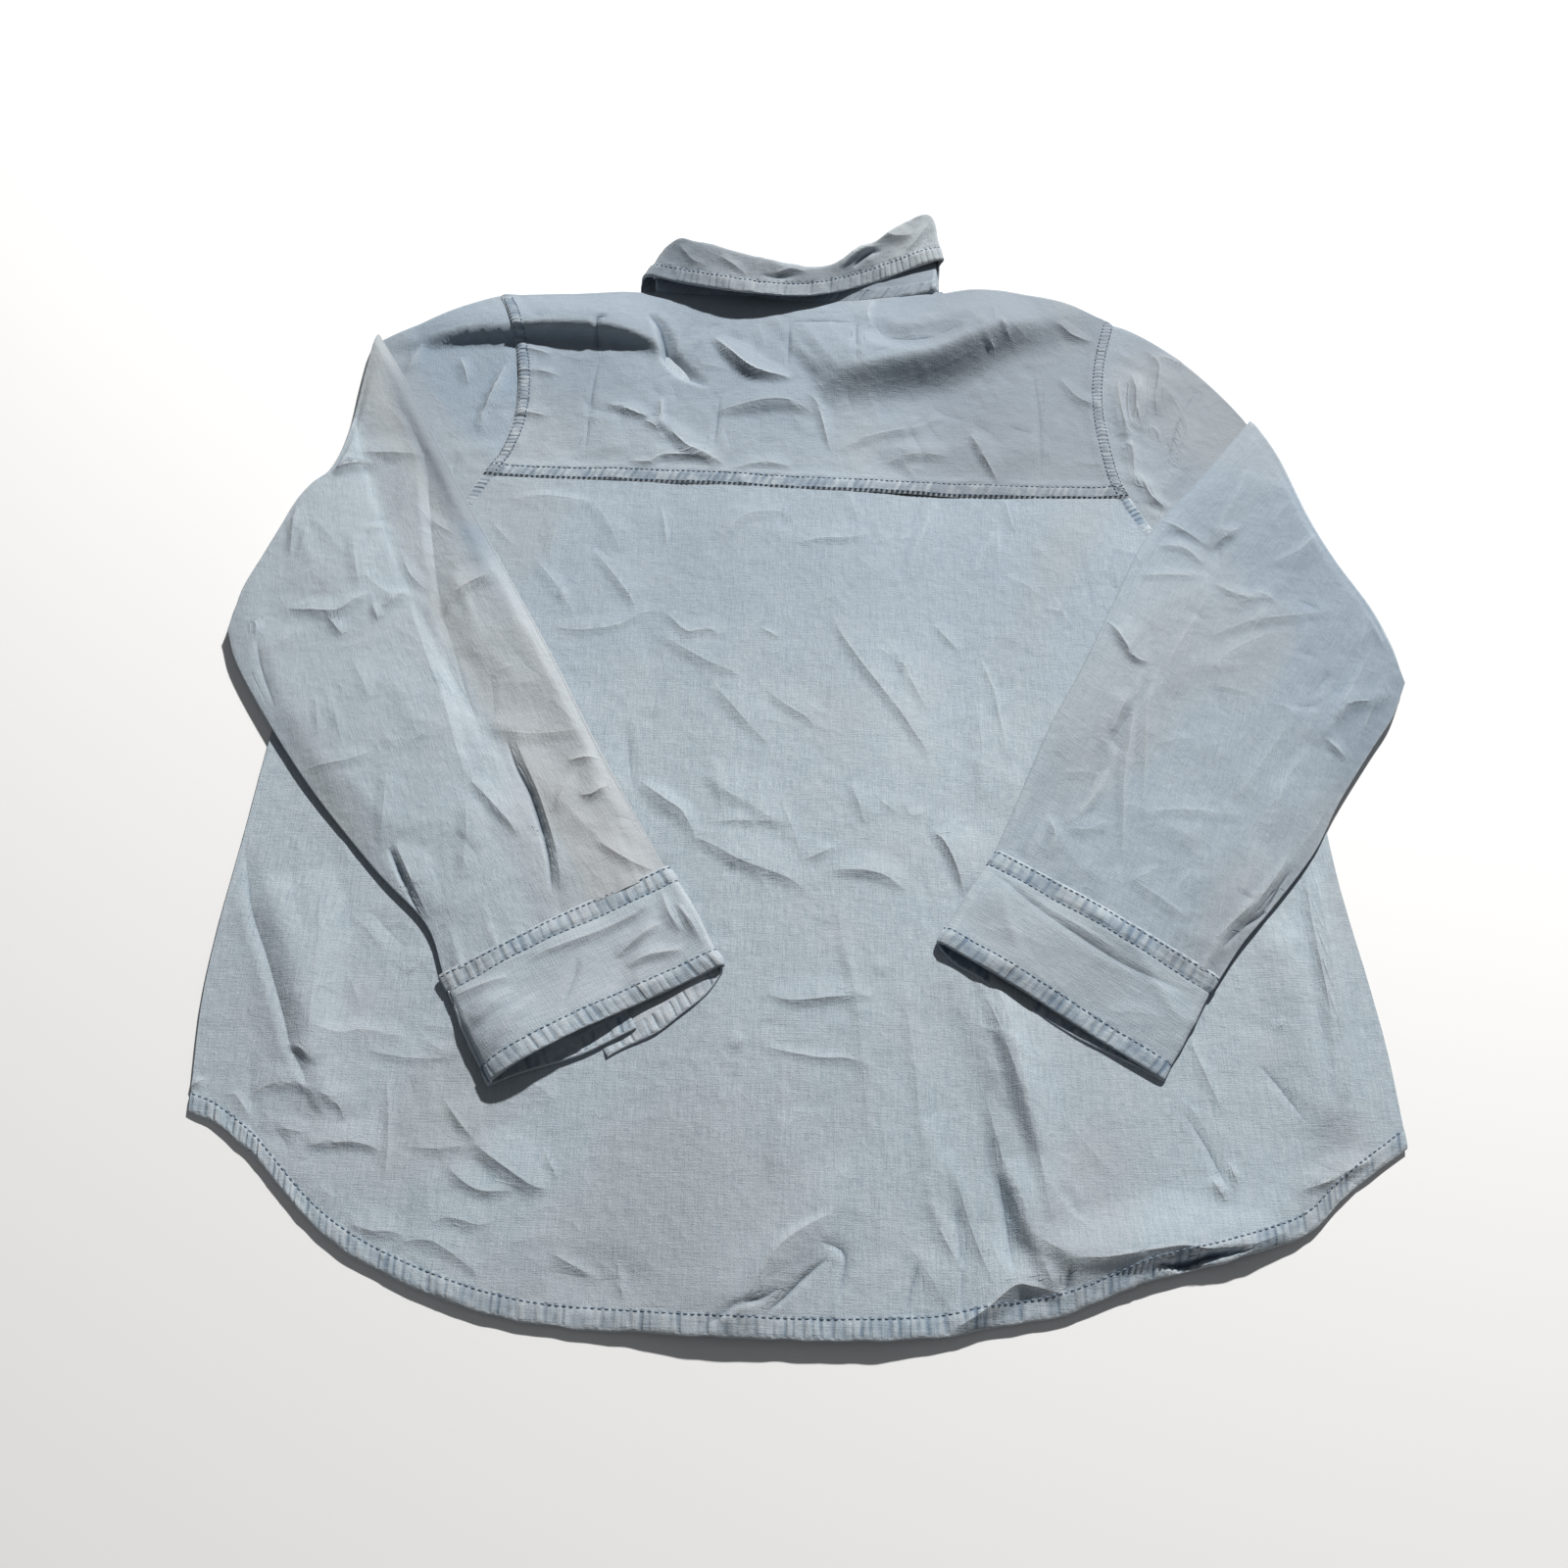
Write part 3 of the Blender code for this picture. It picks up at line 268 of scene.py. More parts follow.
# Creases. Each has its height, the width of the slope on the left of its direction, and of
# the one on its right, the radius of its crest, then x and y of each point that it passes.
# A height under 0 is a trough.
BACK_CREASES = [
    (0.34, 1.4, 0.4, 0.03, 28.1, -13.6, 27.9, -17.1, 27.9, -21.4, 27.7, -25.3, 27.7, -27.1),
    # upper back
    (0.18, 2.31, 0.38, 0.03, 1.6, 3, 2, 1.5, 3.1, -0.5, 4.4, -2.5, 5.6, -4.2, 6.5, -5.7, 7.1, -6.7, 7.4,
     -8.3), (0.14, 1.89, 0.35, 0.03, 5, 0.6, 5.8, -0.7, 6.6, -2.6, 7.4, -4.2),
    (0.1, 1.05, 0.3, 0.03, 7.8, 2.3, 8.7, 1.2, 9.4, 0.3),
    (0.12, 1.47, 0.4, 0.06, 8, 11.9, 7.5, 9.7, 6.7, 7.5, 6.2, 5.1),
    (0.08, 1.26, 0.4, 0.1, 11.9, 9.7, 11.2, 8, 10.4, 6),
    (0.07, 0.84, 0.3, 0.06, 12.8, 12.4, 13, 11, 13.4, 9.6),
    (0.14, 1.89, 0.6, 0.15, 10.2, -3.2, 10.4, -5.5, 10.4, -8.1, 10.3, -10.5),
    (0.1, 0.3, 0.3, 0.03, 10.6, 0.1, 11.3, -2.3, 11.6, -4.5, 12, -7),
    (0.14, 1.89, 0.45, 0.06, -5.4, -2.6, -4.2, -4.2, -3, -5.7, -1.9, -6.8),
    (0.1, 1.47, 0.35, 0.06, -2.3, -3, -1, -4.1, 0.2, -4.9, 0.7, -5.7),
    (0.12, 1.05, 0.35, 0.03, -8.5, 2.6, -7.7, 1.6, -7, 1.1, -5.9, 1.3, -5.1, 0.8),
    (0.12, 1.68, 0.5, 0.13, -8.8, 1, -7.4, 0, -5.7, -1.1, -3.9, -1.9),
    (0.1, 1.05, 0.35, 0.06, -15.6, 1.4, -13.6, 1.2, -11.4, 1.6, -10.1, 2.5, -9.3, 2.7),
    (0.12, 1.26, 0.45, 0.06, -13.4, 7.4, -12.2, 5.7, -10.8, 3.7, -10.3, 2.4),
    (0.1, 0.6, 0.6, 0.15, -17, 6.5, -15.3, 4.3, -14.1, 2.3),
    (0.1, 1.47, 0.6, 0.15, -13.9, 11.4, -12.7, 9.5, -11.7, 7.3),
    (0.07, 0.3, 0.3, 0.03, -9.3, 10.7, -9, 9.1, -8.8, 7.7),
    (0.1, 1.47, 0.5, 0.13, -5.6, 8.1, -4.1, 10, -2.3, 10.5, -0.7, 10.2),
    (0.1, 1.26, 0.4, 0.06, -0.6, 8, 1, 8.4, 2.7, 8.5, 4.1, 9),
    (0.12, 0.5, 1.26, 0.13, -19.2, 11.2, -17.1, 11.6, -15, 11.4, -13.8, 11.2),
    (0.07, 0.3, 0.3, 0.03, -2.8, 1.5, -1.5, 0.7),
    (-0.14, 0.45, 0.9, 0.06, -10.3, -5.3, -10, -7.7, -9.7, -9.8),
    (0.24, 0.7, 0.7, 0.06, -9.3, -9.2, -7.7, -10.5, -6.7, -11.3, -5.9, -12.8),
    (0.15, 2.1, 0.5, 0.06, -5.7, -8.8, -4.4, -9.9, -3, -10.7, -1.9, -11.5, -0.8, -12.1),
    (0.1, 0.84, 0.3, 0.03, -5.4, -11.9, -3.5, -11.8, -2.1, -11.8, -0.8, -12),
    (0.12, 0.84, 0.3, 0.03, 0.1, -14.1, 0.9, -13.8, 1.9, -13.2),
    (0.12, 1.26, 0.35, 0.03, 2.7, -9.2, 3.2, -10.5, 3.5, -11.8),
    (0.07, 1.05, 0.3, 0.06, 4.3, -10.2, 5.4, -11),
    (0.07, 1.05, 0.3, 0.06, 5.7, -10, 6.2, -11.1, 7.2, -10.6),
    (0.06, 0.3, 0.3, 0.03, -1.2, -10.4, -0.4, -12.5, 0, -14.1),
    # middle
    (0.33, 2.73, 0.36, 0.02, 7.1, -11.9, 7.9, -12.5, 8.6, -14.1, 9, -15.8),
    (0.39, 3.2, 0.85, 0.03, 10.3, -20.2, 10.6, -21.6, 11, -23.2, 11.2, -24.7, 11.6, -27, 12.2, -30),
    (0.2, 1.26, 0.45, 0.06, 1.6, -14.7, 3.4, -14.7, 4.7, -15, 5.8, -15.8),
    (0.22, 2.1, 0.55, 0.06, -6.3, -12.7, -4.8, -13.4, -3.3, -14.3, -0.6, -15.3, 0.4, -16.2),
    (0.18, 1.26, 0.35, 0.03, -1.8, -21.9, -0.3, -22.3, 2.2, -22, 4, -21.9),
    (0.08, 0.3, 0.3, 0.03, 2.3, -19.2, 2.7, -20.3, 2.8, -21.4),
    (0.1, 0.3, 0.3, 0.06, -1.9, -24.8, 1, -25.3, 2.6, -25.3, 4.2, -25.8),
    (0.13, 1.26, 0.5, 0.13, 0.3, -27.9, -0.6, -29.3, -1, -30.5, -1, -31.8),
    (0.1, 0.84, 0.3, 0.06, -3.3, -25.1, -2.7, -24.2),
    (0.11, 0.7, 0.7, 0.35, 6.5, -28.1, 6.6, -30.5, 6.5, -33),
    (0.11, 0.6, 0.6, 0.25, 7.5, -29.8, 7.7, -31.4, 7.9, -32.9),
    (0.13, 0.5, 0.5, 0.13, 12.4, -22.3, 12.6, -24.1, 12.7, -26.2),
    # lower right, down to the hem
    (0.34, 1.9, 0.55, 0.02, 9.2, -20.2, 9.9, -21.8, 10.8, -24.7, 11.6, -27.7, 12.2, -30.8, 12.5, -33.6),
    (0.26, 1.2, 0.5, 0.02, 9.6, -26.9, 10.1, -29.4, 10.7, -32, 11.5, -34.4, 11.9, -35.5),
    (0.12, 0.8, 0.3, 0.02, 6.3, -30.9, 7.1, -33.7, 8.5, -36),
    (0.12, 0.7, 0.3, 0.02, 7.7, -30.3, 8.7, -33.8, 9.6, -36.3),
    (0.26, 1, 0.6, 0.02, 28.4, -12.5, 28.6, -16, 28.4, -20.3, 28.3, -24.4, 27.9, -28.7),
    (-0.1, 0.3, 0.25, 0.02, 19.6, -27.5, 20.6, -29.3, 21.6, -31.9),
    (-0.09, 0.3, 0.2, 0.02, 23.8, -24.8, 24.7, -26, 25.8, -27.9),
    (0.1, 0.5, 0.3, 0.02, 20.3, -23.3, 21, -25.5, 21.7, -27.6),
    (0.08, 0.9, 0.4, 0.02, 1.5, -14.8, 2.3, -18.7, 3, -22, 3.4, -26, 3.7, -29.8),
    (0.1, 1, 0.4, 0.02, 5.5, -21.5, 6, -25, 6.2, -28.1, 6.6, -30.9),
    (0.36, 2.4, 0.8, 0.02, 10.2, -30.5, 11, -32, 11.2, -32.9, 11.5, -33.8, 13.5, -34.9),
    (0.62, 2.6, 0.9, 0.02, 12.6, -35.1, 13.4, -34.9, 15.1, -34.8, 17.4, -34.4, 18.7, -34.2, 19.9, -34.3,
     21.5, -34.2, 22.7, -33.8, 24.1, -33.3),
    (0.5, 1.6, 0.7, 0.02, 7.5, -38.2, 8.1, -37.9, 9.2, -37.2, 10.5, -36.2, 11.3, -36.2, 12.5, -36.4,
     12.9, -36.6), (-0.45, 0.22, 0.22, 0.03, 17.2, -35, 18.7, -35, 20, -34.6, 21.6, -34.3, 22.3, -34.1),
    (-0.2, 1, 0.4, 0.02, 7.5, -31.1, 7.8, -32.3, 8, -33.9, 8.1, -35.1, 8, -36.9, 7.9, -37.8),
    (-0.25, 0.8, 0.5, 0.02, 10, -30.8, 10.2, -31.9, 10.4, -33.8, 10.6, -35.9),
    (0.2, 0.5, 0.6, 0.02, 11.5, -33.8, 11.9, -35, 12.4, -36.3),
    (-0.2, 0.25, 0.2, 0.02, 13.2, -35.4, 13.1, -35.9, 13, -36.5),
    (0.3, 1.8, 0.45, 0.02, 2, -33, 1.4, -33.3, 0.5, -33.8, -0.7, -34.7, -1.5, -35.9, -2.3, -37.2, -3.4,
     -38.2), (-0.16, 0.22, 0.22, 0.02, 1.7, -35.1, 0.5, -36.1, -0.3, -36.9, -1.2, -37.7),
    (-0.16, 0.4, 0.25, 0.02, 1.2, -34.4, 2.2, -34.7, 2.5, -35.2, 2.4, -36, 2.1, -37.1),
    (-0.16, 0.25, 0.25, 0.02, -0.6, -36.6, -1.5, -37.1, -2.7, -37.4, -3.2, -37.8, -4, -38.3),
    (-0.12, 0.3, 0.2, 0.02, 6.1, -35, 5.6, -36.6, 5.4, -37.8),
    (0.19, 0.84, 0.3, 0.03, 20.6, -30.8, 20.9, -31.4, 21.2, -32),
    (0.15, 0.3, 0.3, 0.03, 21.6, -30, 21.9, -31.1),
    (0.24, 1.05, 0.35, 0.03, 25, -31.3, 26.5, -30.8, 27.9, -30.1, 29, -29.6),
    # left flank and hem
    (0.36, 1.3, 3.2, 0.33, -26.4, -15.3, -25.7, -18.8, -25.4, -21.6, -25.2, -24, -24.8, -26.4),
    (-0.24, 1.2, 0.5, 0.02, -30.9, -13.8, -29.7, -17.6, -28.3, -20.4, -26.8, -23.5, -25.9, -25.6, -25.3,
     -26.4, -24.6, -27.6, -23.8, -28.8),
    (0.17, 0.735, 0.3, 0.03, -26.1, -25.3, -25.3, -25.6, -24.7, -26.2),
    (0.24, 1.26, 0.35, 0.03, -25.4, -27.2, -24.5, -27.7, -24.1, -28.3, -23.7, -28.8),
    (0.14, 1.05, 0.3, 0.03, -24.2, -27.7, -23.5, -28, -22.9, -28.5, -22.6, -29.1),
    (0.19, 1.26, 0.32, 0.03, -24.4, -30.4, -23.4, -30.3, -22.2, -30.2, -21.3, -30.3, -20.5, -30.6),
    (0.12, 1.05, 0.35, 0.06, -27.8, -28.1, -26.9, -27.5, -25.9, -27.3, -25.1, -27.5),
    (0.14, 1.26, 0.3, 0.03, -17.8, -27.9, -16.8, -29.1, -15.9, -30),
    (0.3, 1.89, 0.6, 0.04, -16.2, -29.9, -15.1, -30.7, -13.7, -31.6, -12.8, -32.1, -12, -32.2),
    (0.17, 1.05, 0.35, 0.03, -17.2, -31.2, -16.2, -32, -15.2, -32.4, -13.6, -32.3),
    (0.09, 0.84, 0.3, 0.06, -19.5, -30.3, -18.1, -30.4, -17.1, -30.3, -16.2, -30.2),
    (0.11, 1.05, 0.35, 0.06, -17.9, -34.2, -16.9, -33.7, -16.1, -33.8, -15.2, -34, -14.3, -33.7),
    (0.11, 0.84, 0.35, 0.06, -19.3, -35.2, -18.4, -34.8, -17.4, -34.8, -16.4, -35.3, -14.9, -36.3),
    (0.11, 0.84, 0.35, 0.06, -21.5, -34.1, -20.3, -34.4, -19.5, -34.4, -18.7, -34.6),
    (0.12, 0.5, 1.26, 0.17, -25, -24.3, -23.6, -24.6, -22.7, -24.4, -21.1, -24.5),
    (0.09, 1.05, 0.35, 0.09, -22, -25.5, -20.1, -25.8, -18.4, -25.8, -17.4, -25.5),
    (0.07, 0.3, 0.3, 0.03, -21, -26.5, -20.5, -28.4, -20.2, -30.8, -20.1, -32.4),
    (0.1, 0.84, 0.3, 0.06, -20.8, -21.4, -20.2, -20.7, -19.5, -20),
    (0.09, 0.84, 0.3, 0.06, -26.6, -29.7, -25.5, -29.6, -24.4, -29.8),
    (0.09, 0.4, 0.4, 0.06, -28.5, -27.7, -27.6, -28.7, -27.1, -29.4),
    (-0.17, 1.1, 1.1, 0.73, -11.9, -36, -9.4, -36.3, -6.9, -36.4),
    (0.1, 0.3, 0.3, 0.06, -11.6, -35.2, -10.4, -35.8, -9.1, -36.4),
    (0.12, 0.3, 0.3, 0.03, -30.8, -27.6, -30, -27.1), (0.09, 0.3, 0.3, 0.06, -8.4, -35.5, -8, -37.3),
]
YOKE_CREASES = [
    # left half
    (-0.2, 0.35, 0.3, 0.05, -14, 26.3, -14.7, 26.3, -14.7, 24.6),
    (-0.61, 0.9, 0.45, 0.04, -11.3, 27.4, -10.6, 26.5, -10.2, 25.4, -9.8, 24, -8.9, 22.7, -7, 21.2),
    (0.61, 1.71, 0.6, 0.04, -6.7, 25.8, -5.5, 24.2, -3.8, 22.4, -1.2, 21.8),
    (0.26, 0.95, 0.3, 0.03, -13.5, 19.5, -12.3, 19, -11.2, 18.5, -10.4, 18.3),
    (0.33, 1.33, 0.45, 0.03, -10.4, 18.4, -9, 16.9, -7.9, 15.6, -7.1, 15.2, -5.4, 14.3),
    (0.19, 0.665, 0.3, 0.03, -11, 18.1, -10.4, 17.7, -9.9, 17.2),
    (0.15, 0.3, 0.3, 0.03, -10, 20.4, -9.9, 18.9, -9.7, 17.3),
    (0.36, 1.9, 0.7, 0.18, -6.4, 18.8, -3.7, 19.6, -1.6, 19.8, 0.4, 18.9),
    (0.19, 0.76, 0.3, 0.03, -0.1, 20.5, 0.5, 19.8, 0.9, 18.2, 1.4, 15.8),
    (0.16, 0.76, 0.3, 0.06, -20.2, 24.7, -19, 24.5, -17.8, 24.1),
    (0.15, 0.76, 0.3, 0.06, -20.2, 22.5, -18.5, 22.5, -16.9, 22.1),
    (0.15, 0.76, 0.3, 0.06, -19.9, 18.6, -18.6, 18.7, -17.2, 18.5),
    (-0.08, 0.2, 0.2, 0.02, -14.5, 23.4, -14.7, 20.2, -14.7, 15.1),
    (-0.08, 0.2, 0.2, 0.02, -6, 20.3, -6.1, 18.2, -6.2, 15.5),
    (0.22, 0.95, 0.35, 0.06, -11.9, 14.7, -10.4, 14.5, -9.5, 15.1, -7.1, 14.9, -6.1, 14.1),
    (0.16, 0.95, 0.35, 0.06, -5, 14, -3, 14.5, -0.9, 14.3),
    (-0.08, 0.2, 0.2, 0.02, -1.5, 27.3, -1.5, 25, -1.5, 22.9),
    (-0.08, 0.2, 0.2, 0.02, -1.6, 27.2, 0.7, 27.3, 3.2, 26.9),
    # right half
    (-0.08, 0.2, 0.2, 0.02, 3.1, 27.5, 3.1, 24.4, 3.1, 22.3),
    (0.12, 1.6, 1, 0.4, 0, 20.5, 2.9, 20.9, 5.5, 21.6, 8.1, 22.4, 10.9, 24.1, 12.8, 25.7, 15.1, 27.7,
     17.4, 29.3), (-0.41, 1, 1, 0.5, 4.2, 27.5, 5.2, 25.4, 7.6, 24.9, 10.4, 26.2),
    (0.26, 0.5, 1.14, 0.06, 4.4, 29.6, 3.9, 28, 4.2, 26.4),
    (0.26, 1.33, 0.32, 0.03, 10.7, 17.7, 11.4, 15.9, 12.4, 13.7),
    (-0.08, 0.2, 0.2, 0.02, 15.3, 24.2, 15.5, 19.7, 15.3, 14.2),
    (0.22, 0.95, 0.4, 0.06, 17.2, 28.1, 18.2, 27.4, 19.7, 27),
    (0.16, 0.95, 0.4, 0.06, 17.2, 23.5, 18.2, 21.7, 20, 20.7),
    (0.16, 1.52, 0.5, 0.13, 1.6, 15.7, 4.2, 17.2, 7.1, 18, 9, 19.3),
    (0.16, 1.33, 0.5, 0.13, 5, 14.9, 7, 15.6, 9.4, 15.6),
    (0.19, 0.3, 0.3, 0.03, 12.7, 24.7, 12.1, 25.1, 12, 25.6),
    (0.19, 0.3, 0.3, 0.03, 13.7, 25.6, 13.2, 26.3, 13, 27.1),
]
SLEEVE_CREASES = {
    "sleeve_left": [
        (0.32, 0.9, 0.45, 0.03, -31.6, 11.9, -30.4, 12.6, -29, 13.3, -27.6, 13.6),
        (-0.22, 1.6, 0.6, 0.02, -27.4, 18.8, -25, 14.3, -24.2, 11, -23.2, 6.2, -22, 1.5),
        (-0.2, 1.4, 0.8, 0.02, -22.3, 2.2, -21.3, -0.1, -20, -3.4, -18.8, -6.2, -18, -8.1),
        (0.26, 0.7, 3.04, 0.03, -24.2, 2.4, -22.4, -1.6, -21.1, -4.3, -19.7, -8, -18.9, -9.7),
        (0.26, 1.33, 0.5, 0.03, -22, 1.5, -21, 3.5, -18.3, 5.2),
        (0.23, 0.95, 0.45, 0.03, -31.9, 1.8, -29.8, 1.6, -28.3, 1.5, -27.3, 2.4, -26.5, 2.9),
        (0.17, 0.76, 0.35, 0.03, -26.3, 2.2, -25.7, 0.9),
        (0.2, 0.95, 0.4, 0.03, -25.6, 1.8, -25.1, 2.5, -24.4, 3.2),
        (0.17, 0.76, 0.32, 0.03, -28.9, 1.2, -28.2, 0.4, -27.6, -0.3),
        (0.26, 1.52, 0.6, 0.03, -30.7, 12.3, -29.4, 14.1, -27.5, 14.3, -25, 14.3),
        (-0.22, 0.16, 0.2, 0.03, -17.1, -6.9, -16.3, -8.8, -15.3, -10.6, -14.3, -13.1, -13.8, -14.7,
         -13.4, -16.7),
        (0.26, 2.09, 0.35, 0.03, -16.6, -6.9, -15.8, -8.6, -14.8, -10.6, -13.8, -13.1, -13.3, -14.6,
         -12.9, -16.7), (0.23, 0.76, 0.32, 0.03, -12.5, -10.7, -11.7, -10.6, -10.8, -9.9),
        (0.18, 0.4, 0.4, 0.03, -13.4, -8.4, -12.2, -8.2, -11.3, -8.1),
        (0.2, 1.33, 0.4, 0.03, -18.9, -9.7, -17.7, -10.9, -16.2, -12.5, -15.7, -13.2),
        (-0.18, 0.18, 0.2, 0.03, -22.7, -14.1, -21.9, -15.7, -20.8, -17.6, -20.1, -18.6),
        (0.28, 1.52, 0.4, 0.03, -22.4, -13.9, -21.5, -15.5, -20.5, -17.3, -19.9, -18.3),
        (-0.18, 0.4, 0.4, 0.1, -33, 0, -32.2, -2.5, -30.7, -5.5),
        (0.09, 0.32, 0.32, 0.06, -32.4, 9.9, -32.2, 7.5, -32, 5.5),
        (0.11, 0.95, 0.4, 0.06, -28.8, -9.5, -25.9, -8.8, -24.5, -8.1),
        (0.13, 1.14, 0.5, 0.13, -23.5, -9.5, -23.3, -12.1, -23.2, -14),
        (0.18, 0.32, 0.32, 0.03, -33.4, 1, -33, 0.3, -33, -0.4),
        (0.15, 1.14, 0.5, 0.13, -18.8, -10.8, -18.5, -13.2, -18.4, -16),
        (0.15, 0.95, 0.4, 0.06, -12.9, -9.3, -13.5, -10.6, -13.7, -11.8),
        (0.18, 0.95, 0.4, 0.06, -11.4, -13.4, -9.7, -14.5, -7.9, -15.2),
        (0.2, 1.14, 0.4, 0.06, -16.8, 1.9, -15.7, -0.4, -14.8, -1.3),
        (0.15, 1.52, 0.6, 0.15, -18.5, -6.2, -15.8, -6.6, -12.6, -6.3),
        (0.13, 1.14, 0.5, 0.13, -28.5, 7.7, -27.8, 5.1, -27.1, 3.1),
        (0.13, 0.5, 0.5, 0.13, -25.1, 6.2, -24.5, 4.7, -23.3, 3.4),
    ],
    "sleeve_right": [
        (0.18, 1.33, 0.5, 0.06, 28.7, 14.9, 27.6, 12.7, 26.3, 10.3, 25.6, 8.7),
        (0.16, 0.95, 0.4, 0.03, 22.1, 11.3, 24.2, 9.6, 25.4, 8.5),
        (0.16, 0.95, 0.35, 0.03, 25.3, 8.3, 26.3, 9.1, 27.7, 10.2),
        (0.14, 0.95, 0.4, 0.06, 22.2, 8.7, 23.8, 8.4, 24.9, 7.1),
        (0.09, 0.76, 0.32, 0.06, 20.2, 6.1, 22.4, 6.2, 24.9, 6.1),
        (0.16, 1.14, 0.5, 0.06, 24.9, 6.2, 24.4, 4.1, 23.2, 1.9, 21.9, -0.2, 21.3, -1.5),
        (0.26, 1.71, 0.36, 0.03, 18.1, 3.1, 18.7, 2.1, 19.2, 0.7, 19.7, -0.3, 20.7, -0.7),
        (0.18, 0.95, 0.4, 0.03, 20.6, -0.7, 19.8, -1.8, 19.3, -3.8, 18.8, -6.2, 18.3, -8.5, 17.7, -13.9),
        (0.16, 0.95, 0.4, 0.03, 20.8, -1.4, 20.1, -3.7, 19.5, -8.5, 19.1, -10.8),
        (0.14, 0.95, 0.35, 0.03, 14.5, -11.6, 15.7, -10.7, 16.6, -9.6, 17.5, -7.8),
        (0.14, 1.14, 0.4, 0.06, 17.5, -6.9, 18.1, -5, 19.3, -2.5),
        (0.12, 0.76, 0.32, 0.03, 13.7, -10.9, 14.1, -12.3, 13.5, -13.7),
        (0.21, 1.14, 0.4, 0.03, 30.3, -5.6, 30.8, -4.4, 32.2, -3.2, 34.2, -2.7, 35.5, -1.6),
        (0.14, 0.76, 0.35, 0.03, 30.3, -5.5, 30.7, -6.1, 31.4, -6.8),
        (0.12, 0.76, 0.32, 0.06, 34.7, 2.9, 34.9, 1.6, 35.2, 1.6),
        (0.12, 0.4, 0.4, 0.06, 34.6, 3.5, 33.9, 1.9, 33.2, 0.3),
        (0.1, 0.76, 0.32, 0.06, 27.5, 5, 28.3, 4.7, 28.8, 4.2),
        (0.1, 1.14, 0.5, 0.13, 25.6, 3.6, 27, 4.2, 28.1, 4.7),
        (0.12, 1.52, 0.5, 0.13, 24.4, 1.4, 27, 2.6, 29.9, 3.2, 32.3, 3.6),
        (-0.3, 0.35, 0.35, 0.03, 27.4, -13.6, 26.3, -15.1, 25.2, -16.7, 23.9, -17.6, 22.6, -18.8),
        (0.25, 1.14, 0.5, 0.03, 27.1, -13.1, 26, -14.7, 24.8, -16.1, 23.6, -17.1, 22.3, -18.3),
        (0.12, 1.52, 0.6, 0.15, 25.2, -12.3, 24.5, -14.8, 23.2, -17.1),
        (0.1, 1.52, 0.6, 0.2, 27, -7.1, 26.5, -9.4, 25.4, -12.6),
        (0.1, 1.14, 0.5, 0.13, 17.9, -14.8, 19.5, -16, 21, -17.3),
        (-0.14, 0.4, 0.5, 0.1, 33, -4.7, 31.1, -8.1, 29.1, -11.5),
        (0.1, 0.95, 0.4, 0.06, 31, -1.8, 29.8, -4.1, 29.1, -5.8),
        (0.1, 1.14, 0.5, 0.13, 14.7, -11.8, 16, -11.9, 17.1, -11.3),
        (0.09, 1.14, 0.5, 0.13, 18.9, -10.8, 21.7, -10.5, 24.9, -10.8),
        (0.14, 1.33, 0.5, 0.06, 32.7, 10, 30.9, 8.2, 29.2, 7.3),
        (-0.2, 0.6, 0.7, 0.03, 20.5, -1.8, 19.2, -3.9, 17.6, -6.5, 16.9, -8.1, 14.9, -11.5),
        (0.16, 0.35, 0.6, 0.03, 35.2, -0.4, 33.6, -3.1, 31.9, -6.8, 29.7, -10.3, 27.9, -12.6),
        (0.2, 1, 0.4, 0.03, 34.3, 1, 32.8, -1.4, 31, -4.2, 29.5, -6),
        (0.2, 0.6, 0.35, 0.03, 35.3, -1.6, 34.4, -2.2, 33.7, -3.2),
        (0.14, 1.2, 0.5, 0.06, 29.5, -6, 27.4, -8.7, 25.9, -12.5),
        (0.14, 0.9, 0.4, 0.03, 18.2, 2.6, 17.2, 0.6, 16.2, -1.5),
        (0.12, 0.8, 0.35, 0.03, 25.3, 5.6, 26.6, 4.6, 28.6, 4.4),
        (0.1, 1.3, 0.5, 0.1, 28.6, 2, 25.8, 0.5, 23.8, -1.3),
        (0.12, 1.4, 0.6, 0.1, 29.8, -2, 27.9, -5.2, 24.4, -9.8),
    ],
}
NEAR_CREASES = {
    "sleeve_left": [
        (0.39, 0.9, 0.32, 0.03, -20.8, 23.4, -21.4, 20.6, -22.1, 17.1),
        (0.18, 0.5, 0.4, 0.06, -24.1, 23.9, -23.6, 22.7, -23.2, 21.3),
        (0.24, 0.6, 0.5, 0.06, -26.7, 25, -27.2, 23.5, -27.6, 22.2),
    ],
    "sleeve_right": [
        (0.38, 1.5, 0.4, 0.03, 23.6, 26.2, 24.1, 25, 23.9, 23.2, 23.5, 21.7, 23.6, 20.2),
        (0.2, 0.6, 0.5, 0.06, 24.4, 25.9, 25, 25.4, 25.8, 25.3),
        (-0.6, 0.9, 1.4, 0.2, 26.6, 22.8, 25.2, 20.2, 24.4, 18.2, 23.6, 15),
        (0.4, 0.7, 0.35, 0.03, 22.2, 24.2, 22.2, 21.3, 21.4, 18),
        (0.3, 0.8, 0.4, 0.03, 21.8, 15, 22.4, 12.9, 23.4, 12),
        (0.36, 0.4, 0.5, 0.06, 21.2, 23.8, 21.1, 20.9, 21.5, 16.8, 21.4, 13.9),
        (0.3, 0.5, 0.5, 0.06, 22.7, 24.2, 22.7, 21.3, 22.3, 18.7),
        (0.24, 0.7, 0.6, 0.15, 24.5, 22.6, 25.5, 19.5, 24.2, 15.7, 22.7, 12.7),
        (0.21, 0.4, 0.4, 0.06, 22.9, 19.3, 23.4, 19, 23.5, 17.8),
    ],
}

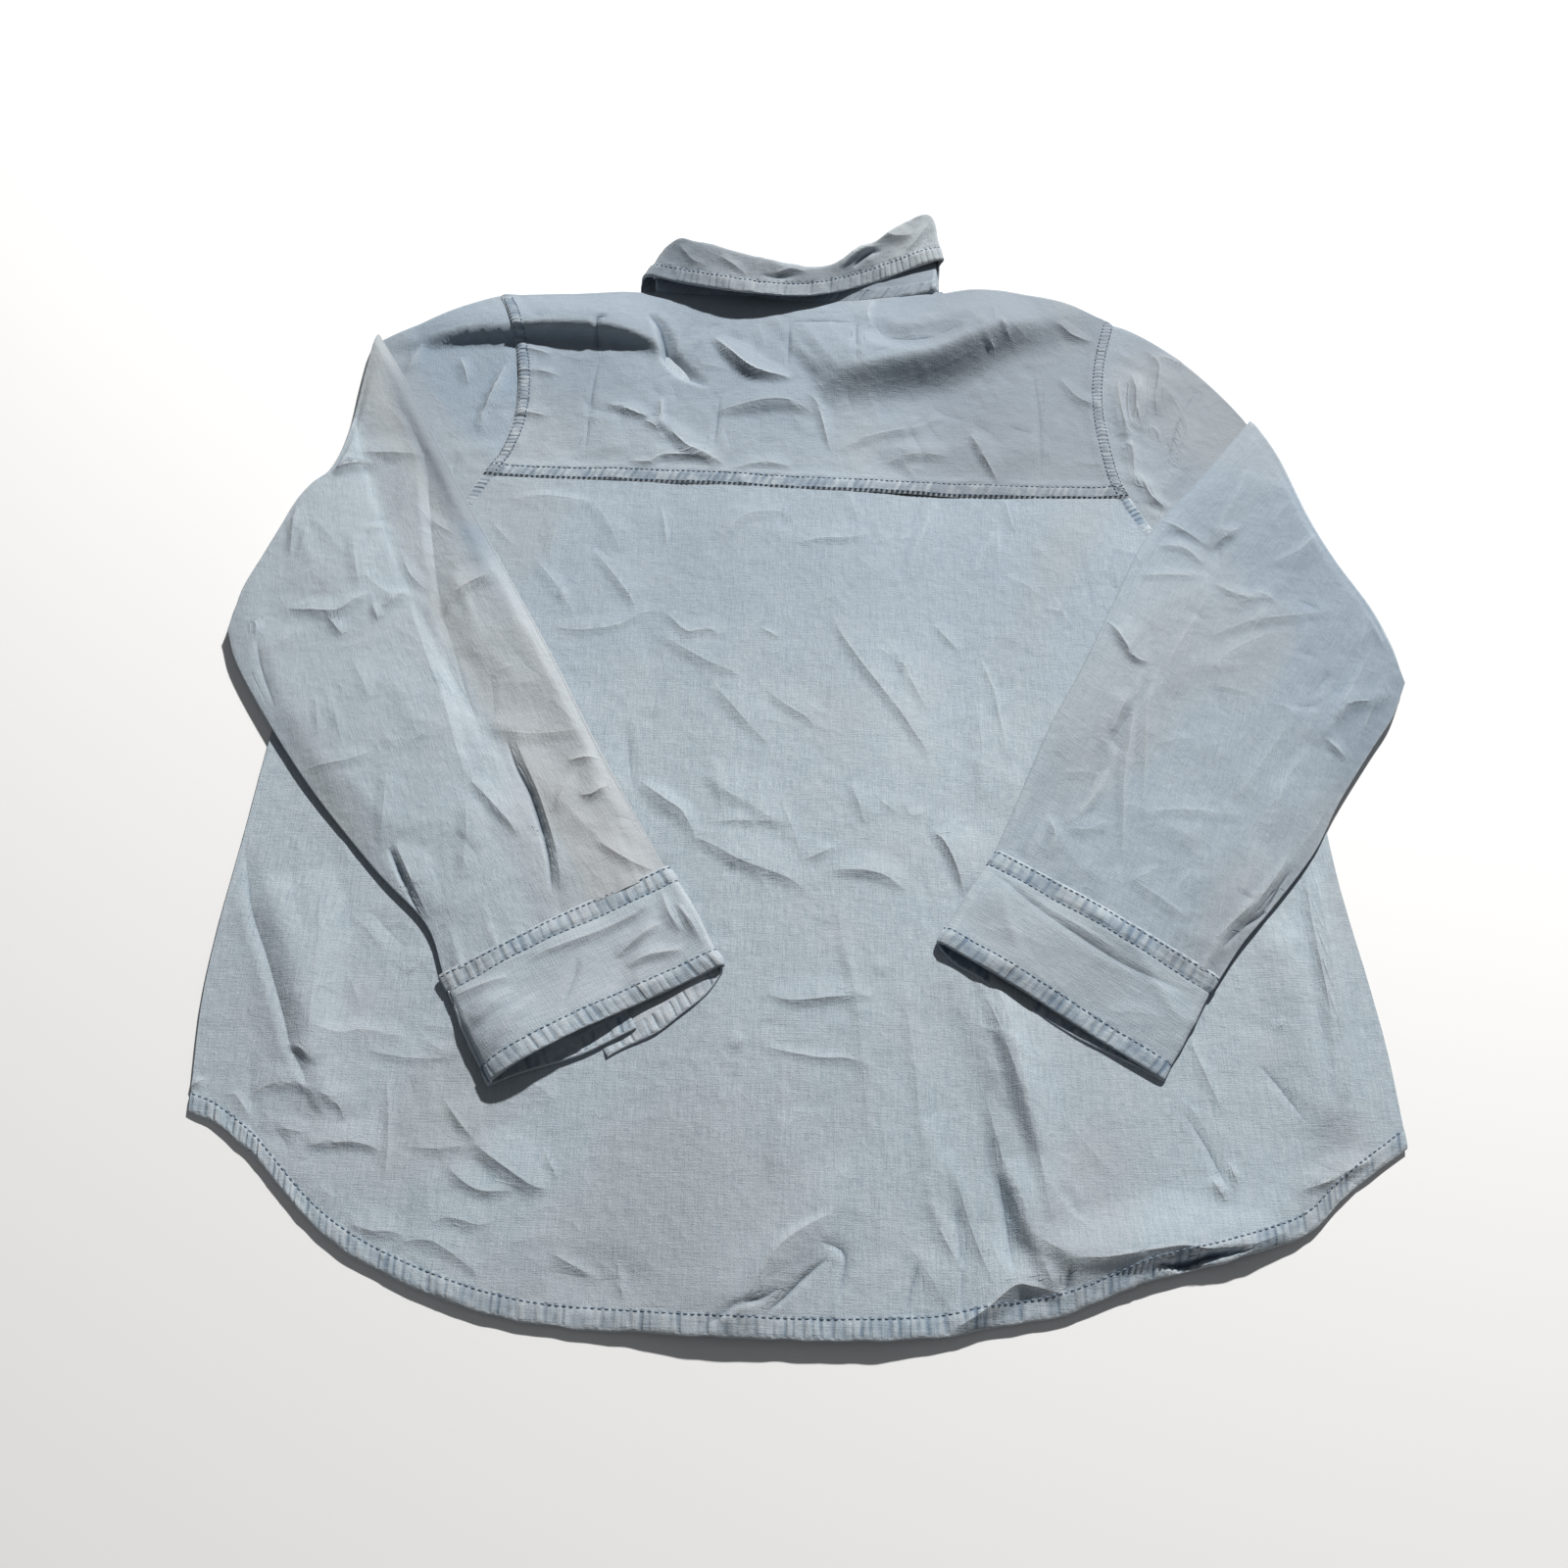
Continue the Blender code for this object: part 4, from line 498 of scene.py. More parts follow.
# Creases of the cuffs' upper layer, across from the inner edge and down from the seam
CUFF_CREASES = {
    "cuff_left": [
        (0.14, 0.4, 0.5, 0.03, 13.2, 1.4, 12, 1.6, 10.2, 2),
        (0.16, 0.7, 0.4, 0.03, 9, 1.7, 8.2, 1.6, 5.7, 1.75, 2.7, 1.7, 1.6, 1.2),
        (0.16, 0.9, 0.5, 0.03, 12.8, 3.4, 11.6, 3, 10.4, 2.7),
        (0.14, 0.4, 0.5, 0.03, 1, 1.2, 1.2, 2.4, 1.1, 3.8),
        (0.2, 0.8, 0.4, 0.03, 4.8, 3.5, 3.6, 3.1, 1.9, 2.8),
        (0.16, 0.4, 0.4, 0.03, 0.6, 2.2, 0.4, 3.6, 0.3, 4.9),
        (0.18, 0.7, 0.4, 0.03, 4.6, 4.3, 3.2, 4.2, 1.5, 4.7),
        (-0.1, 0.3, 0.3, 0.03, 8.6, 5, 7.2, 3.6, 6.6, 2.6),
        (0.12, 0.6, 0.5, 0.03, 12.4, 5.2, 11, 4.2, 9.4, 3.6),
    ],
    "cuff_right": [
        (-0.08, 0.35, 0.3, 0.03, 0.5, 1.4, 3.5, 1.9, 6.5, 2.2, 9.5, 2.15, 12.9, 1.6),
        (0.05, 0.5, 0.3, 0.03, 2.5, 1.5, 5, 1.7, 8, 1.75),
        (0.04, 0.8, 0.6, 0.1, 9, 5, 10.8, 4, 12.6, 3.4),
        (0.04, 0.8, 0.6, 0.1, 1.6, 4.6, 3, 3.8, 5.4, 3.6),
    ],
}

# Creases of the collar's fall, across the back and up from its edge
FALL_CREASES = [
    (0.12, 0.5, 0.35, 0.03, -2.6, 1.7, -1.6, 2.1, -0.4, 1.9),
    (-0.1, 0.3, 0.4, 0.03, -3.6, 1.6, -2.4, 1.4, -1.2, 1.6),
    (0.1, 0.5, 0.4, 0.03, -6.6, 2.6, -5.4, 2, -4.6, 1.4),
    (0.2, 0.6, 0.4, 0.03, 2, 1.8, 3.2, 2.6, 4.4, 2.5),
    (-0.16, 0.3, 0.3, 0.03, 2.8, 1.5, 3.8, 2.1, 4.8, 2),
    (0.18, 0.8, 0.5, 0.03, 4.6, 3.6, 5.6, 2.8, 7, 2.4),
    (0.08, 0.5, 0.4, 0.03, -9.4, 2.8, -8.4, 1.9, -7.4, 1.7),
    (0.12, 0.5, 0.4, 0.03, 6.6, 1.4, 7.4, 2, 8.2, 2.9),
]

# Small creases at random places. Columns: seed, how many, lowest and highest x and y,
# heading and its spread in degrees, longest, highest
SCATTER_BACK = [
    (11, 60, (-29, 29), (-36, 12), 95, 14, 7.0, 0.060),
    (12, 60, (-27, 27), (-36, 10), -50, 26, 3.2, 0.065),
    (13, 50, (-26, 26), (-36, 10), 35, 30, 2.6, 0.055),
    (14, 26, (4, 28), (-36, -18), -65, 22, 4.5, 0.080),
    (15, 20, (-29, -16), (-33, -18), -60, 25, 3.5, 0.080),
]
SCATTER_YOKE = [
    (21, 34, (-20, 20), (14, 27), 95, 25, 4.0, 0.060),
    (22, 34, (-20, 20), (14, 27), -35, 30, 3.0, 0.065),
    (23, 24, (-20, 20), (14, 27), 30, 30, 2.6, 0.060),
]
SCATTER_SLEEVES = {
    "sleeve_left": [
        (31, 60, (-34, -8), (-20, 20), -62, 20, 4.5, 0.075),
        (32, 45, (-34, -8), (-20, 20), 20, 35, 2.6, 0.065),
    ],
    "sleeve_right": [
        (41, 60, (11, 35), (-20, 18), 62, 20, 4.5, 0.075),
        (42, 45, (11, 35), (-20, 18), -20, 35, 2.6, 0.065),
    ],
}


# ---------------------------------------------------------------- lines and fields
def smooth(t):
    """A soft step from 0 to 1."""
    t = np.clip(t, 0.0, 1.0)
    return t * t * (3.0 - 2.0 * t)


def even(count):
    """Evenly spaced shares from 0 to 1."""
    return np.linspace(0.0, 1.0, count)


def lengths_of(line):
    return np.concatenate([[0.0], np.cumsum(np.linalg.norm(np.diff(line, axis=0), axis=1))])


def resample(line, shares):
    """Points at shares of a line's length."""
    length = lengths_of(line)
    at = np.asarray(shares, float) * length[-1]
    return np.stack([np.interp(at, length, line[:, k]) for k in range(line.shape[1])], axis=-1)


def curve(points, shares):
    """Points at shares of the length of a smooth curve through the given ones."""
    p = np.asarray(points, float)
    return resample(through(p, 12 * (len(p) - 1) + 1), shares)


def through(points, count):
    """A smooth curve through rows of values: count of them, evenly spread by row number."""
    p = np.asarray(points, float)
    p = np.concatenate([2 * p[:1] - p[1:2], p, 2 * p[-1:] - p[-2:-1]])
    at = np.linspace(0.0, len(p) - 3.0, count)
    n = np.minimum(at.astype(int), len(p) - 4)
    t = (at - n).reshape((-1,) + (1,) * (p.ndim - 1))
    a, b, c, d = p[n], p[n + 1], p[n + 2], p[n + 3]
    bend, twist = 2 * a - 5 * b + 4 * c - d, 3 * b - a - 3 * c + d
    return b + 0.5 * ((c - a) * t + bend * t ** 2 + twist * t ** 3)


def shares_of(line):
    length = lengths_of(line)
    return length / length[-1]


def patch(low, high, left, right):
    """Points inside four edge lines, by Coons' rule."""
    u = (0.5 * (shares_of(low) + shares_of(high)))[None, :, None]
    v = (0.5 * (shares_of(left) + shares_of(right)))[:, None, None]
    a, b, c, d = low[None], high[None], left[:, None], right[:, None]
    corners = (1 - v) * ((1 - u) * a[:, :1] + u * a[:, -1:]) + v * ((1 - u) * b[:, :1] + u * b[:, -1:])
    return (1 - v) * a + v * b + (1 - u) * c + u * d - corners


def near_line(x, y, line):
    """Distance from each place to a line, how far it is to the line's left (0 right, 1 left),
    and the share of the line's length that is nearest."""
    best = np.full(np.shape(x), 1e9)
    side = np.full(np.shape(x), 0.5)
    share = np.zeros(np.shape(x))
    length = lengths_of(line)
    for n, ((x1, y1), (x2, y2)) in enumerate(zip(line[:-1], line[1:])):
        dx, dy = x2 - x1, y2 - y1
        t = np.clip(((x - x1) * dx + (y - y1) * dy) / (dx * dx + dy * dy), 0.0, 1.0)
        ex, ey = x - x1 - t * dx, y - y1 - t * dy
        far = np.hypot(ex, ey)
        nearer = far < best
        best = np.where(nearer, far, best)
        turn = (dx * ey - dy * ex) / (np.hypot(dx, dy) * np.maximum(far, 1e-6))
        side = np.where(nearer, smooth(0.5 + 0.5 * turn), side)
        share = np.where(nearer, (length[n] + t * (length[n + 1] - length[n])) / length[-1], share)
    return best, side, share


def fold_height(x, y, crest, left, right):
    """Height that one large fold adds: a soft ridge along its crest, fading past its ends."""
    crest = np.array(crest)
    line = curve(crest, even(4 * len(crest)))
    far, side, share = near_line(x, y, line[:, :2])
    width = right + (left - right) * side
    return np.interp(share, shares_of(line[:, :2]), line[:, 2]) * np.exp(-((far / width) ** 2))


def crease(x, y, height, left, right, radius, *places):
    """One crease: two slopes down from its line, which swells from nothing and dies out along
    its length. Gives the height it adds, the distance from its line and its crest's sharpness."""
    points = np.reshape(places, (-1, 2))
    line = curve(points, even(4 * len(points)))
    reach = 2.5 * max(left, right)
    (x1, y1), (x2, y2) = line.min(axis=0) - reach, line.max(axis=0) + reach
    near = (x > x1) & (x < x2) & (y > y1) & (y < y2)
    out, off, sharp = np.zeros(np.shape(x)), np.full(np.shape(x), FAR), np.zeros(np.shape(x))
    if near.any():
        far, side, share = near_line(x[near], y[near], line)
        taper = np.sin(np.pi * share) ** 0.7
        width = (right + (left - right) * side) * (0.35 + 0.65 * taper)
        down = 1.0 - (np.hypot(far, radius) - radius) / width
        down = 0.5 * (down + np.sqrt(down * down + 0.012))
        tall = height * taper
        out[near] = tall * down
        off[near] = np.where(side > 0.5, far, -far)
        sharp[near] = tall * (1.0 / left + 1.0 / right) * CREST / 4
    return out, off, sharp


def scattered(seed, count, xs, ys, heading, spread, longest, highest):
    """Rows for small creases at random places."""
    pick = np.random.default_rng(seed)
    rows = []
    for _ in range(count):
        middle = np.array([pick.uniform(*xs), pick.uniform(*ys)])
        angle = np.radians(pick.normal(heading, spread))
        way = np.array([np.cos(angle), np.sin(angle)])
        half = 0.5 * longest * pick.uniform(0.3, 1.0)
        bow = np.array([-way[1], way[0]]) * half * pick.uniform(-0.12, 0.12)
        height = highest * pick.uniform(0.35, 1.0) * (1 if pick.random() < 0.65 else -1)
        left, right = pick.uniform(0.25, 0.9, 2)
        places = *(middle - way * half), *(middle + bow), *(middle + way * half)
        rows.append((height, left, right, 0.05, *places))
    return rows


def creases_of(rows, scatter):
    """A table's own creases and the scattered ones."""
    return rows + [row for table in scatter for row in scattered(*table)]


def creased(x, y, rows):
    """Height that creases add, and a map of the nearest one's line: distance and sharpness."""
    total, best, sharpest = np.zeros(np.shape(x)), np.full(np.shape(x), FAR), np.zeros(np.shape(x))
    second = best.copy()
    for row in rows:
        out, off, sharp = crease(x, y, *row)
        total += out
        off = np.where(np.abs(sharp) > 0.002, off, FAR)
        nearer = np.abs(off) < np.abs(best)
        second = np.minimum(second, np.where(nearer, np.abs(best), np.abs(off)))
        best, sharpest = np.where(nearer, off, best), np.where(nearer, sharp, sharpest)
    far = np.abs(best)
    sharpest = sharpest * smooth((second - far) / 0.3) * smooth((2.6 * CREST - far) / CREST)
    return total, np.stack([best, sharpest], axis=-1)


def no_crests(*shape):
    """The map of crests for places that have none."""
    return np.full((*shape, 2), (FAR, 0.0))


def noise(x, y, size, seed, heading=0.0, stretch=1.0):
    """Smooth random hills from -1 to 1, about size apart, and stretched along a heading."""
    knots = np.random.default_rng(seed).uniform(-1.0, 1.0, (97, 97))
    a = np.radians(heading)
    u = (x * np.cos(a) + y * np.sin(a)) / (size * stretch) + 40.37
    v = (-x * np.sin(a) + y * np.cos(a)) / size + 41.71
    i, j = np.floor(u).astype(int), np.floor(v).astype(int)
    s, t = smooth(u - i), smooth(v - j)
    i, j = i % 96, j % 96
    low = knots[i, j] * (1 - s) + knots[i + 1, j] * s
    high = knots[i, j + 1] * (1 - s) + knots[i + 1, j + 1] * s
    return low * (1 - t) + high * t


def crumple(x, y, size, seed, heading=0.0, stretch=1.0):
    """Crushed cloth from 0 to 1: sharp crests between soft hollows."""
    bend = 0.35 * size
    u = x + bend * noise(x, y, 1.7 * size, seed + 1)
    v = y + bend * noise(x, y, 1.7 * size, seed + 2)
    return 1.0 - np.minimum(1.0, 1.8 * np.abs(noise(u, v, size, seed, heading, stretch)))


# ---------------------------------------------------------------- the form it lies in
def half_width(y):
    """Half of the shirt's width, which narrows at the armholes."""
    return HALF_CHEST + (HALF_YOKE - HALF_CHEST) * smooth((y - UNDERARM) / (YOKE_SEAM - UNDERARM))


def over_collar(x, y, spread):
    """Where the collar lies under the cloth, from 0 to 1."""
    out = np.maximum(np.abs(x) - COLLAR_HALF, 0.0) + np.maximum(COLLAR_LOWEST - y, 0.0)
    return smooth(1.0 - out / spread)


def lower(x, y):
    """Height of the fronts, where they don't overlap."""
    middle = smooth((MIDDLE_HALF - np.abs(x)) / 2.0)
    return FLOOR_LEVEL + RAISE * np.maximum(middle, over_collar(x, y, 1.6))


def upper(x, y):
    """Height of the back, the yoke and the near part of each sleeve."""
    wide = MIDDLE_HALF + 2.5
    middle = smooth((wide - np.abs(x)) / 4.0)
    lap = smooth((wide + 2.0 - np.abs(x)) / 3.0)
    z = EDGE_LEVEL + RAISE * np.maximum(middle, over_collar(x, y, 4.0)) + (WALL + GAP) * lap
    z = z + SOFT_RISE * smooth((half_width(y) - np.abs(x)) / RISE_WIDTH)
    for fold in FOLDS:
        z = z + fold_height(x, y, *fold)
    return z


def hem(across, lift=0.0):
    """Points on the hem at places across the shirt."""
    line = curve(HEM, even(300))
    return np.column_stack([across, np.interp(across, line[:, 0], line[:, 1]) + lift])


def armhole(points, first, last, count):
    """Points on an armhole between two heights."""
    line = curve(points, even(400))
    shares = even(400)
    low = np.interp(first, line[:, 1], shares)
    high = np.interp(last, line[:, 1], shares)
    return resample(line, np.linspace(low, high, count))


# ---------------------------------------------------------------- sewn bands and stitches
def groove(off, row):
    """The dent that a row of stitches pulls in."""
    return -0.035 * np.exp(-(((off - row) / 0.09) ** 2))


def pucker(along, off, width, seed, *rows, pitch=0.9):
    """Height that a sewn band's puckers and its rows of stitches add, at places along it and
    off its edge."""
    inside = smooth(off / 0.10) * smooth((width - off) / 0.18)
    waves = noise(along + 0.4 * off, 0.3 * off, 0.8 * pitch, seed)
    waves = waves + 0.6 * noise(along, off, 3.0, seed + 1)
    return inside * (0.05 + 0.045 * waves) + sum(groove(off, row) for row in rows)


def seam_map(shape, *bands):
    """Where each point is in its nearest sewn band: puckers along it, and off its edge in
    band widths. Each band is along, off, width and pitch."""
    out = np.dstack([np.zeros(shape), np.full(shape, 3.0)])
    for along, off, width, pitch in bands:
        nearer = off / width < out[..., 1]
        out[nearer] = np.dstack([along / pitch, off / width])[nearer]
    return out


def upper_dye_and_painted_shade(x, y):
    """Tone of the shirt's upper part, which has kept more of its dye, and painted shade where
    its cloth slopes away from the lamp.
    """
    return -0.34 - 0.32 * smooth((y - 14.0) / 8.0) + 0.12 * noise(x, y, 7.0, 351)


def wear_and_painted_light(grid):
    """Tone from the cloth's bends: crests paler and hollows bluer, partly from wear and
    partly as a painted highlight on the crests and painted shade in the hollows.
    """
    z = grid[..., 2]
    bend = np.zeros_like(z)
    for axis in (0, 1):
        step = np.maximum(np.linalg.norm(np.gradient(grid[..., :2], axis=axis), axis=2), 0.05)
        bend += np.gradient(np.gradient(z, axis=axis) / step, axis=axis) / step
    return np.clip(-0.10 * bend, -0.6, 0.35)


def worn_warm(x, y, above, *kind):
    """Where the cloth has turned warm with wear, from 0 to 1."""
    return smooth((noise(x, y, *kind) - above) / 0.5)


def edge_distance(grid, axis, far=False):
    """Distance of each of a grid's points from its first (or last) row or column, along it."""
    steps = np.linalg.norm(np.diff(grid, axis=axis), axis=2)
    if far:
        steps = np.flip(steps, axis=axis)
    start = np.zeros_like(np.take(steps, [0], axis=axis))
    out = np.concatenate([start, np.cumsum(steps, axis=axis)], axis=axis)
    return np.flip(out, axis=axis) if far else out


def on_grid(grid, rows, columns):
    """Points of a grid at fractions of its rows and columns."""
    rows, columns = np.broadcast_arrays(np.asarray(rows, float), np.asarray(columns, float))
    j = np.clip(rows.astype(int), 0, grid.shape[0] - 2)
    i = np.clip(columns.astype(int), 0, grid.shape[1] - 2)
    v, u = (rows - j)[:, None], (columns - i)[:, None]
    low = grid[j, i] * (1 - u) + grid[j, i + 1] * u
    high = grid[j + 1, i] * (1 - u) + grid[j + 1, i + 1] * u
    return low * (1 - v) + high * v


def normals_of(grid):
    """The direction that each of a grid's points faces."""
    normal = np.cross(np.gradient(grid, axis=1), np.gradient(grid, axis=0))
    return normal / np.maximum(np.linalg.norm(normal, axis=2, keepdims=True), 1e-9)


def lengths_down(grid):
    """Distance of each of a grid's rows from its first one, the same all along a row."""
    steps = np.linalg.norm(np.diff(grid, axis=0), axis=2).mean(axis=1)
    return np.concatenate([[0.0], np.cumsum(steps)])[:, None] * np.ones(grid.shape[1])


def line_across(grid, off, distance, places, by_rows, flip):
    """A line on a grid at one distance off its edge, and the cloth's normals along it."""
    crossed = []
    for place in places:
        here = off[:, place] if by_rows else off[place]
        order = np.argsort(here)
        crossed.append(np.interp(distance, here[order], order))
    rows, columns = (crossed, places) if by_rows else (places, crossed)
    return on_grid(grid, rows, columns), flip * on_grid(normals_of(grid), rows, columns)


def row_line(grid, off, distance, columns=None, flip=1.0):
    """The line along an edge that runs along the grid's rows."""
    columns = np.arange(grid.shape[1]) if columns is None else columns
    return line_across(grid, off, distance, columns, True, flip)


def column_line(grid, off, distance, rows):
    """The line along an edge that runs along the grid's columns."""
    return line_across(grid, off, distance, rows, False, 1.0)


def stitch_mesh(name, lines):
    """One mesh of the stitches on some lines, each of them points and the cloth's normals."""
    # A stitch is a spindle with a square section. Columns: place along it, width, lift
    stations = [(-0.5, 0.0, -0.3), (-0.3, 1.0, 0.5), (0.0, 1.0, 0.8), (0.3, 1.0, 0.5), (0.5, 0.0, -0.3)]
    square = [(1, 0), (0, 1), (-1, 0), (0, -1)]
    shape = np.array([(place * STITCH, s * wide * THREAD, (t * wide * 0.8 + lift) * THREAD)
                      for place, wide, lift in stations for s, t in square])
    quads = []
    for ring in range(len(stations) - 1):
        for k in range(4):
            a, b = 4 * ring + k, 4 * ring + (k + 1) % 4
            quads.append((a, b, b + 4, a + 4))
    points, faces = [], []
    for line, normal in lines:
        length = lengths_of(line)[-1]
        at = np.arange(0.5 * STITCH_PITCH, length - 0.5 * STITCH_PITCH, STITCH_PITCH) / length
        centre, up = resample(line, at), resample(np.hstack([line, normal]), at)[:, 3:]
        ahead = resample(line, np.minimum(at + 0.1 / length, 1.0)) - resample(line, at - 0.1 / length)
        ahead /= np.linalg.norm(ahead, axis=1, keepdims=True)
        aside = np.cross(up, ahead)
        aside /= np.linalg.norm(aside, axis=1, keepdims=True)
        for c, f, s, n in zip(centre, ahead, aside, up):
            faces.append(np.array(quads) + len(shape) * len(points))
            points.append(c + shape @ np.array([f, s, n]))
    return add_mesh(name, np.vstack(points), np.vstack(faces), THREAD_BLUE)


# ---------------------------------------------------------------- making objects
def add_mesh(name, points, quads, material, maps=None, values=None):
    """A mesh from points in plan centimetres. maps are UV maps and values are numbers, one
    for each point."""
    mesh = bpy.data.meshes.new(name)
    mesh.vertices.add(len(points))
    mesh.vertices.foreach_set("co", (points * CM + PLAN_ORIGIN).astype(np.float32).ravel())
    mesh.loops.add(4 * len(quads))
    mesh.loops.foreach_set("vertex_index", quads.astype(np.int32).ravel())
    mesh.polygons.add(len(quads))
    mesh.polygons.foreach_set("loop_start", np.arange(0, 4 * len(quads), 4, dtype=np.int32))
    mesh.update(calc_edges=True)
    mesh.validate()
    mesh.shade_smooth()
    for title, uv in (maps or {}).items():
        layer = mesh.uv_layers.new(name=title)
        corner = np.empty(len(mesh.loops), np.int32)
        mesh.loops.foreach_get("vertex_index", corner)
        layer.data.foreach_set("uv", uv[corner].astype(np.float32).ravel())
    for title, value in (values or {}).items():
        spot = mesh.attributes.new(title, "FLOAT", "POINT")
        spot.data.foreach_set("value", value.astype(np.float32).ravel())
    mesh.materials.append(material)
    made = bpy.data.objects.new(name, mesh)
    bpy.context.scene.collection.objects.link(made)
    return made


def add_sheet(name, grid, cut, material, tone=None, warm=None, seam=None, crests=None,
              ring=False, keep=None, wall=0.0, flip=False):
    """A sheet of cloth on a grid. cut gives each point's place across and along the yarns."""
    rows, columns = grid.shape[:2]
    spans = columns if ring else columns - 1
    j, i = np.meshgrid(np.arange(rows - 1), np.arange(spans), indexing="ij")
    k = (i + 1) % columns
    corners = [j * columns + i, j * columns + k, (j + 1) * columns + k, (j + 1) * columns + i]
    quads = np.stack(corners[::-1] if flip else corners, axis=-1)
    if keep is not None:
        quads = quads[keep]
    used, quads = np.unique(quads.reshape(-1, 4), return_inverse=True)
    plain = np.zeros((rows, columns))
    values = {"tone": plain if tone is None else tone, "warm": plain if warm is None else warm}
    maps = {
        "cut": cut,
        "seam": seam_map((rows, columns)) if seam is None else seam,
        "crests": no_crests(rows, columns) if crests is None else crests,
    }
    values = {title: value.reshape(-1)[used] for title, value in values.items()}
    maps = {title: uv.reshape(-1, 2)[used] for title, uv in maps.items()}
    made = add_mesh(name, grid.reshape(-1, 3)[used], quads.reshape(-1, 4), material, maps, values)
    if wall:
        solid = made.modifiers.new("wall", "SOLIDIFY")
        solid.thickness = wall * CM
        solid.offset = 0.0
    return made


def finish_piece(made, node, with_pieces=()):
    """Puts a sheet and its other pieces under the root, and hides the solid that it stands for."""
    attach(made, "root")
    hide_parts(node)
    for piece in with_pieces:
        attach(piece, "root")


# ---------------------------------------------------------------- materials
class Nodes:
    """A node tree being filled in."""

    def __init__(self, tree):
        self.tree = tree

    def add(self, kind, inputs=None, **settings):
        made = self.tree.nodes.new(kind)
        for key, value in settings.items():
            setattr(made, key, value)
        for key, value in (inputs or {}).items():
            self.set(made.inputs[key], value)
        return made

    def set(self, socket, value):
        if isinstance(value, bpy.types.NodeSocket):
            self.tree.links.new(value, socket)
        else:
            socket.default_value = value

    def math(self, operation, *values):
        made = self.tree.nodes.new("ShaderNodeMath")
        made.operation = operation
        for socket, value in zip(made.inputs, values):
            self.set(socket, value)
        return made.outputs[0]

    def times(self, first, second):
        return self.math("MULTIPLY", first, second)

    def plus(self, first, second):
        return self.math("ADD", first, second)

    def minus(self, first, second):
        return self.math("SUBTRACT", first, second)

    def times_plus(self, first, second, more):
        return self.math("MULTIPLY_ADD", first, second, more)

    def mix(self, factor, first, second):
        made = self.tree.nodes.new("ShaderNodeMix")
        made.data_type = "RGBA"
        for socket, value in zip([s for s in made.inputs if s.enabled], (factor, first, second)):
            self.set(socket, value)
        return next(s for s in made.outputs if s.enabled)

    def noise(self, vector, scale, detail=2.0, rough=0.5):
        given = {"Vector": vector, "Scale": scale, "Detail": detail, "Roughness": rough}
        return self.add("ShaderNodeTexNoise", given).outputs["Fac"]

    def stretch(self, vector, across, along):
        """The same places with the two directions scaled on their own."""
        made = self.add("ShaderNodeMapping", {"Vector": vector})
        made.inputs["Scale"].default_value = (across, along, 1.0)
        return made.outputs["Vector"]

    def ramp(self, value, low, high, to_low=0.0, to_high=1.0):
        made = self.add("ShaderNodeMapRange", {"Value": value, "From Min": low, "From Max": high,
                                               "To Min": to_low, "To Max": to_high})
        made.interpolation_type = "SMOOTHSTEP"
        return made.outputs["Result"]


def new_group(name, inputs, outputs):
    """A new node group with the given sockets: its nodes, its inputs and its outputs."""
    tree = bpy.data.node_groups.new(name, "ShaderNodeTree")
    for way, sockets in (("INPUT", inputs), ("OUTPUT", outputs)):
        for title, kind in sockets.items():
            tree.interface.new_socket(title, in_out=way, socket_type=f"NodeSocket{kind}")
    nodes = Nodes(tree)
    return nodes, nodes.add("NodeGroupInput").outputs, nodes.add("NodeGroupOutput").inputs


def slub_yarns():
    """Uneven yarns of a plain weave: streaks along the warp, weaker ones across it."""
    nodes, given, put = new_group("slub yarns", {"Cut": "Vector"}, {"Streak": "Float", "Height": "Float"})
    fine = nodes.noise(nodes.stretch(given["Cut"], 14.0, 0.9), 1.0, 3.0, 0.65)
    slub = nodes.noise(nodes.stretch(given["Cut"], 5.0, 0.2), 1.0, 3.0, 0.6)
    weft = nodes.noise(nodes.stretch(given["Cut"], 0.8, 13.0), 1.0, 2.0, 0.6)
    speck = nodes.noise(given["Cut"], 13.0, 2.0, 0.8)
    streak = nodes.times_plus(fine, 0.55, nodes.times(slub, 0.22))
    specks = nodes.times_plus(weft, 0.12, nodes.times(speck, 0.66))
    nodes.set(put["Streak"], nodes.ramp(nodes.plus(streak, specks), 0.50, 0.98))
    thread = nodes.times_plus(fine, 0.6, nodes.times(weft, 0.5))
    nodes.set(put["Height"], nodes.times_plus(speck, 0.8, thread))
    return nodes.tree


def washed_cloth():
    """The colour of washed chambray: yarn streaks, blue and pale seams, paler cloth where Tone is
    above 0 and deeper blue where it is below, and warm grey by Warm. Both carry wear, and also
    painted light and shade.
    """
    inputs = {"Place": "Vector", "Streak": "Float", "Tone": "Float", "Warm": "Float"}
    nodes, given, put = new_group("washed cloth", inputs, {"Color": "Color"})
    place, tone = given["Place"], given["Tone"]
    blue = nodes.math("MINIMUM", nodes.math("MAXIMUM", nodes.times(tone, -1.0), 0.0), 1.2)
    layers = [
        (nodes.ramp(nodes.noise(place, 9.0, 3.0, 0.55), 0.35, 0.68), 0.22, (0.395, 0.475, 0.545, 1.0)),
        (nodes.ramp(nodes.noise(place, 23.0, 3.0, 0.6), 0.45, 0.75), 0.22, (0.500, 0.530, 0.555, 1.0)),
        (nodes.ramp(tone, 0.0, 1.0), 0.55, (0.530, 0.545, 0.570, 1.0)),
        (blue, 0.75, (0.140, 0.205, 0.290, 1.0)),
        (given["Warm"], 0.28, (0.375, 0.375, 0.365, 1.0)),
    ]
    colour = nodes.mix(given["Streak"], (0.275, 0.345, 0.405, 1.0), (0.500, 0.560, 0.610, 1.0))
    for mask, strength, layer in layers:
        colour = nodes.mix(nodes.times(mask, strength), colour, layer)
    nodes.set(put["Color"], colour)
    return nodes.tree


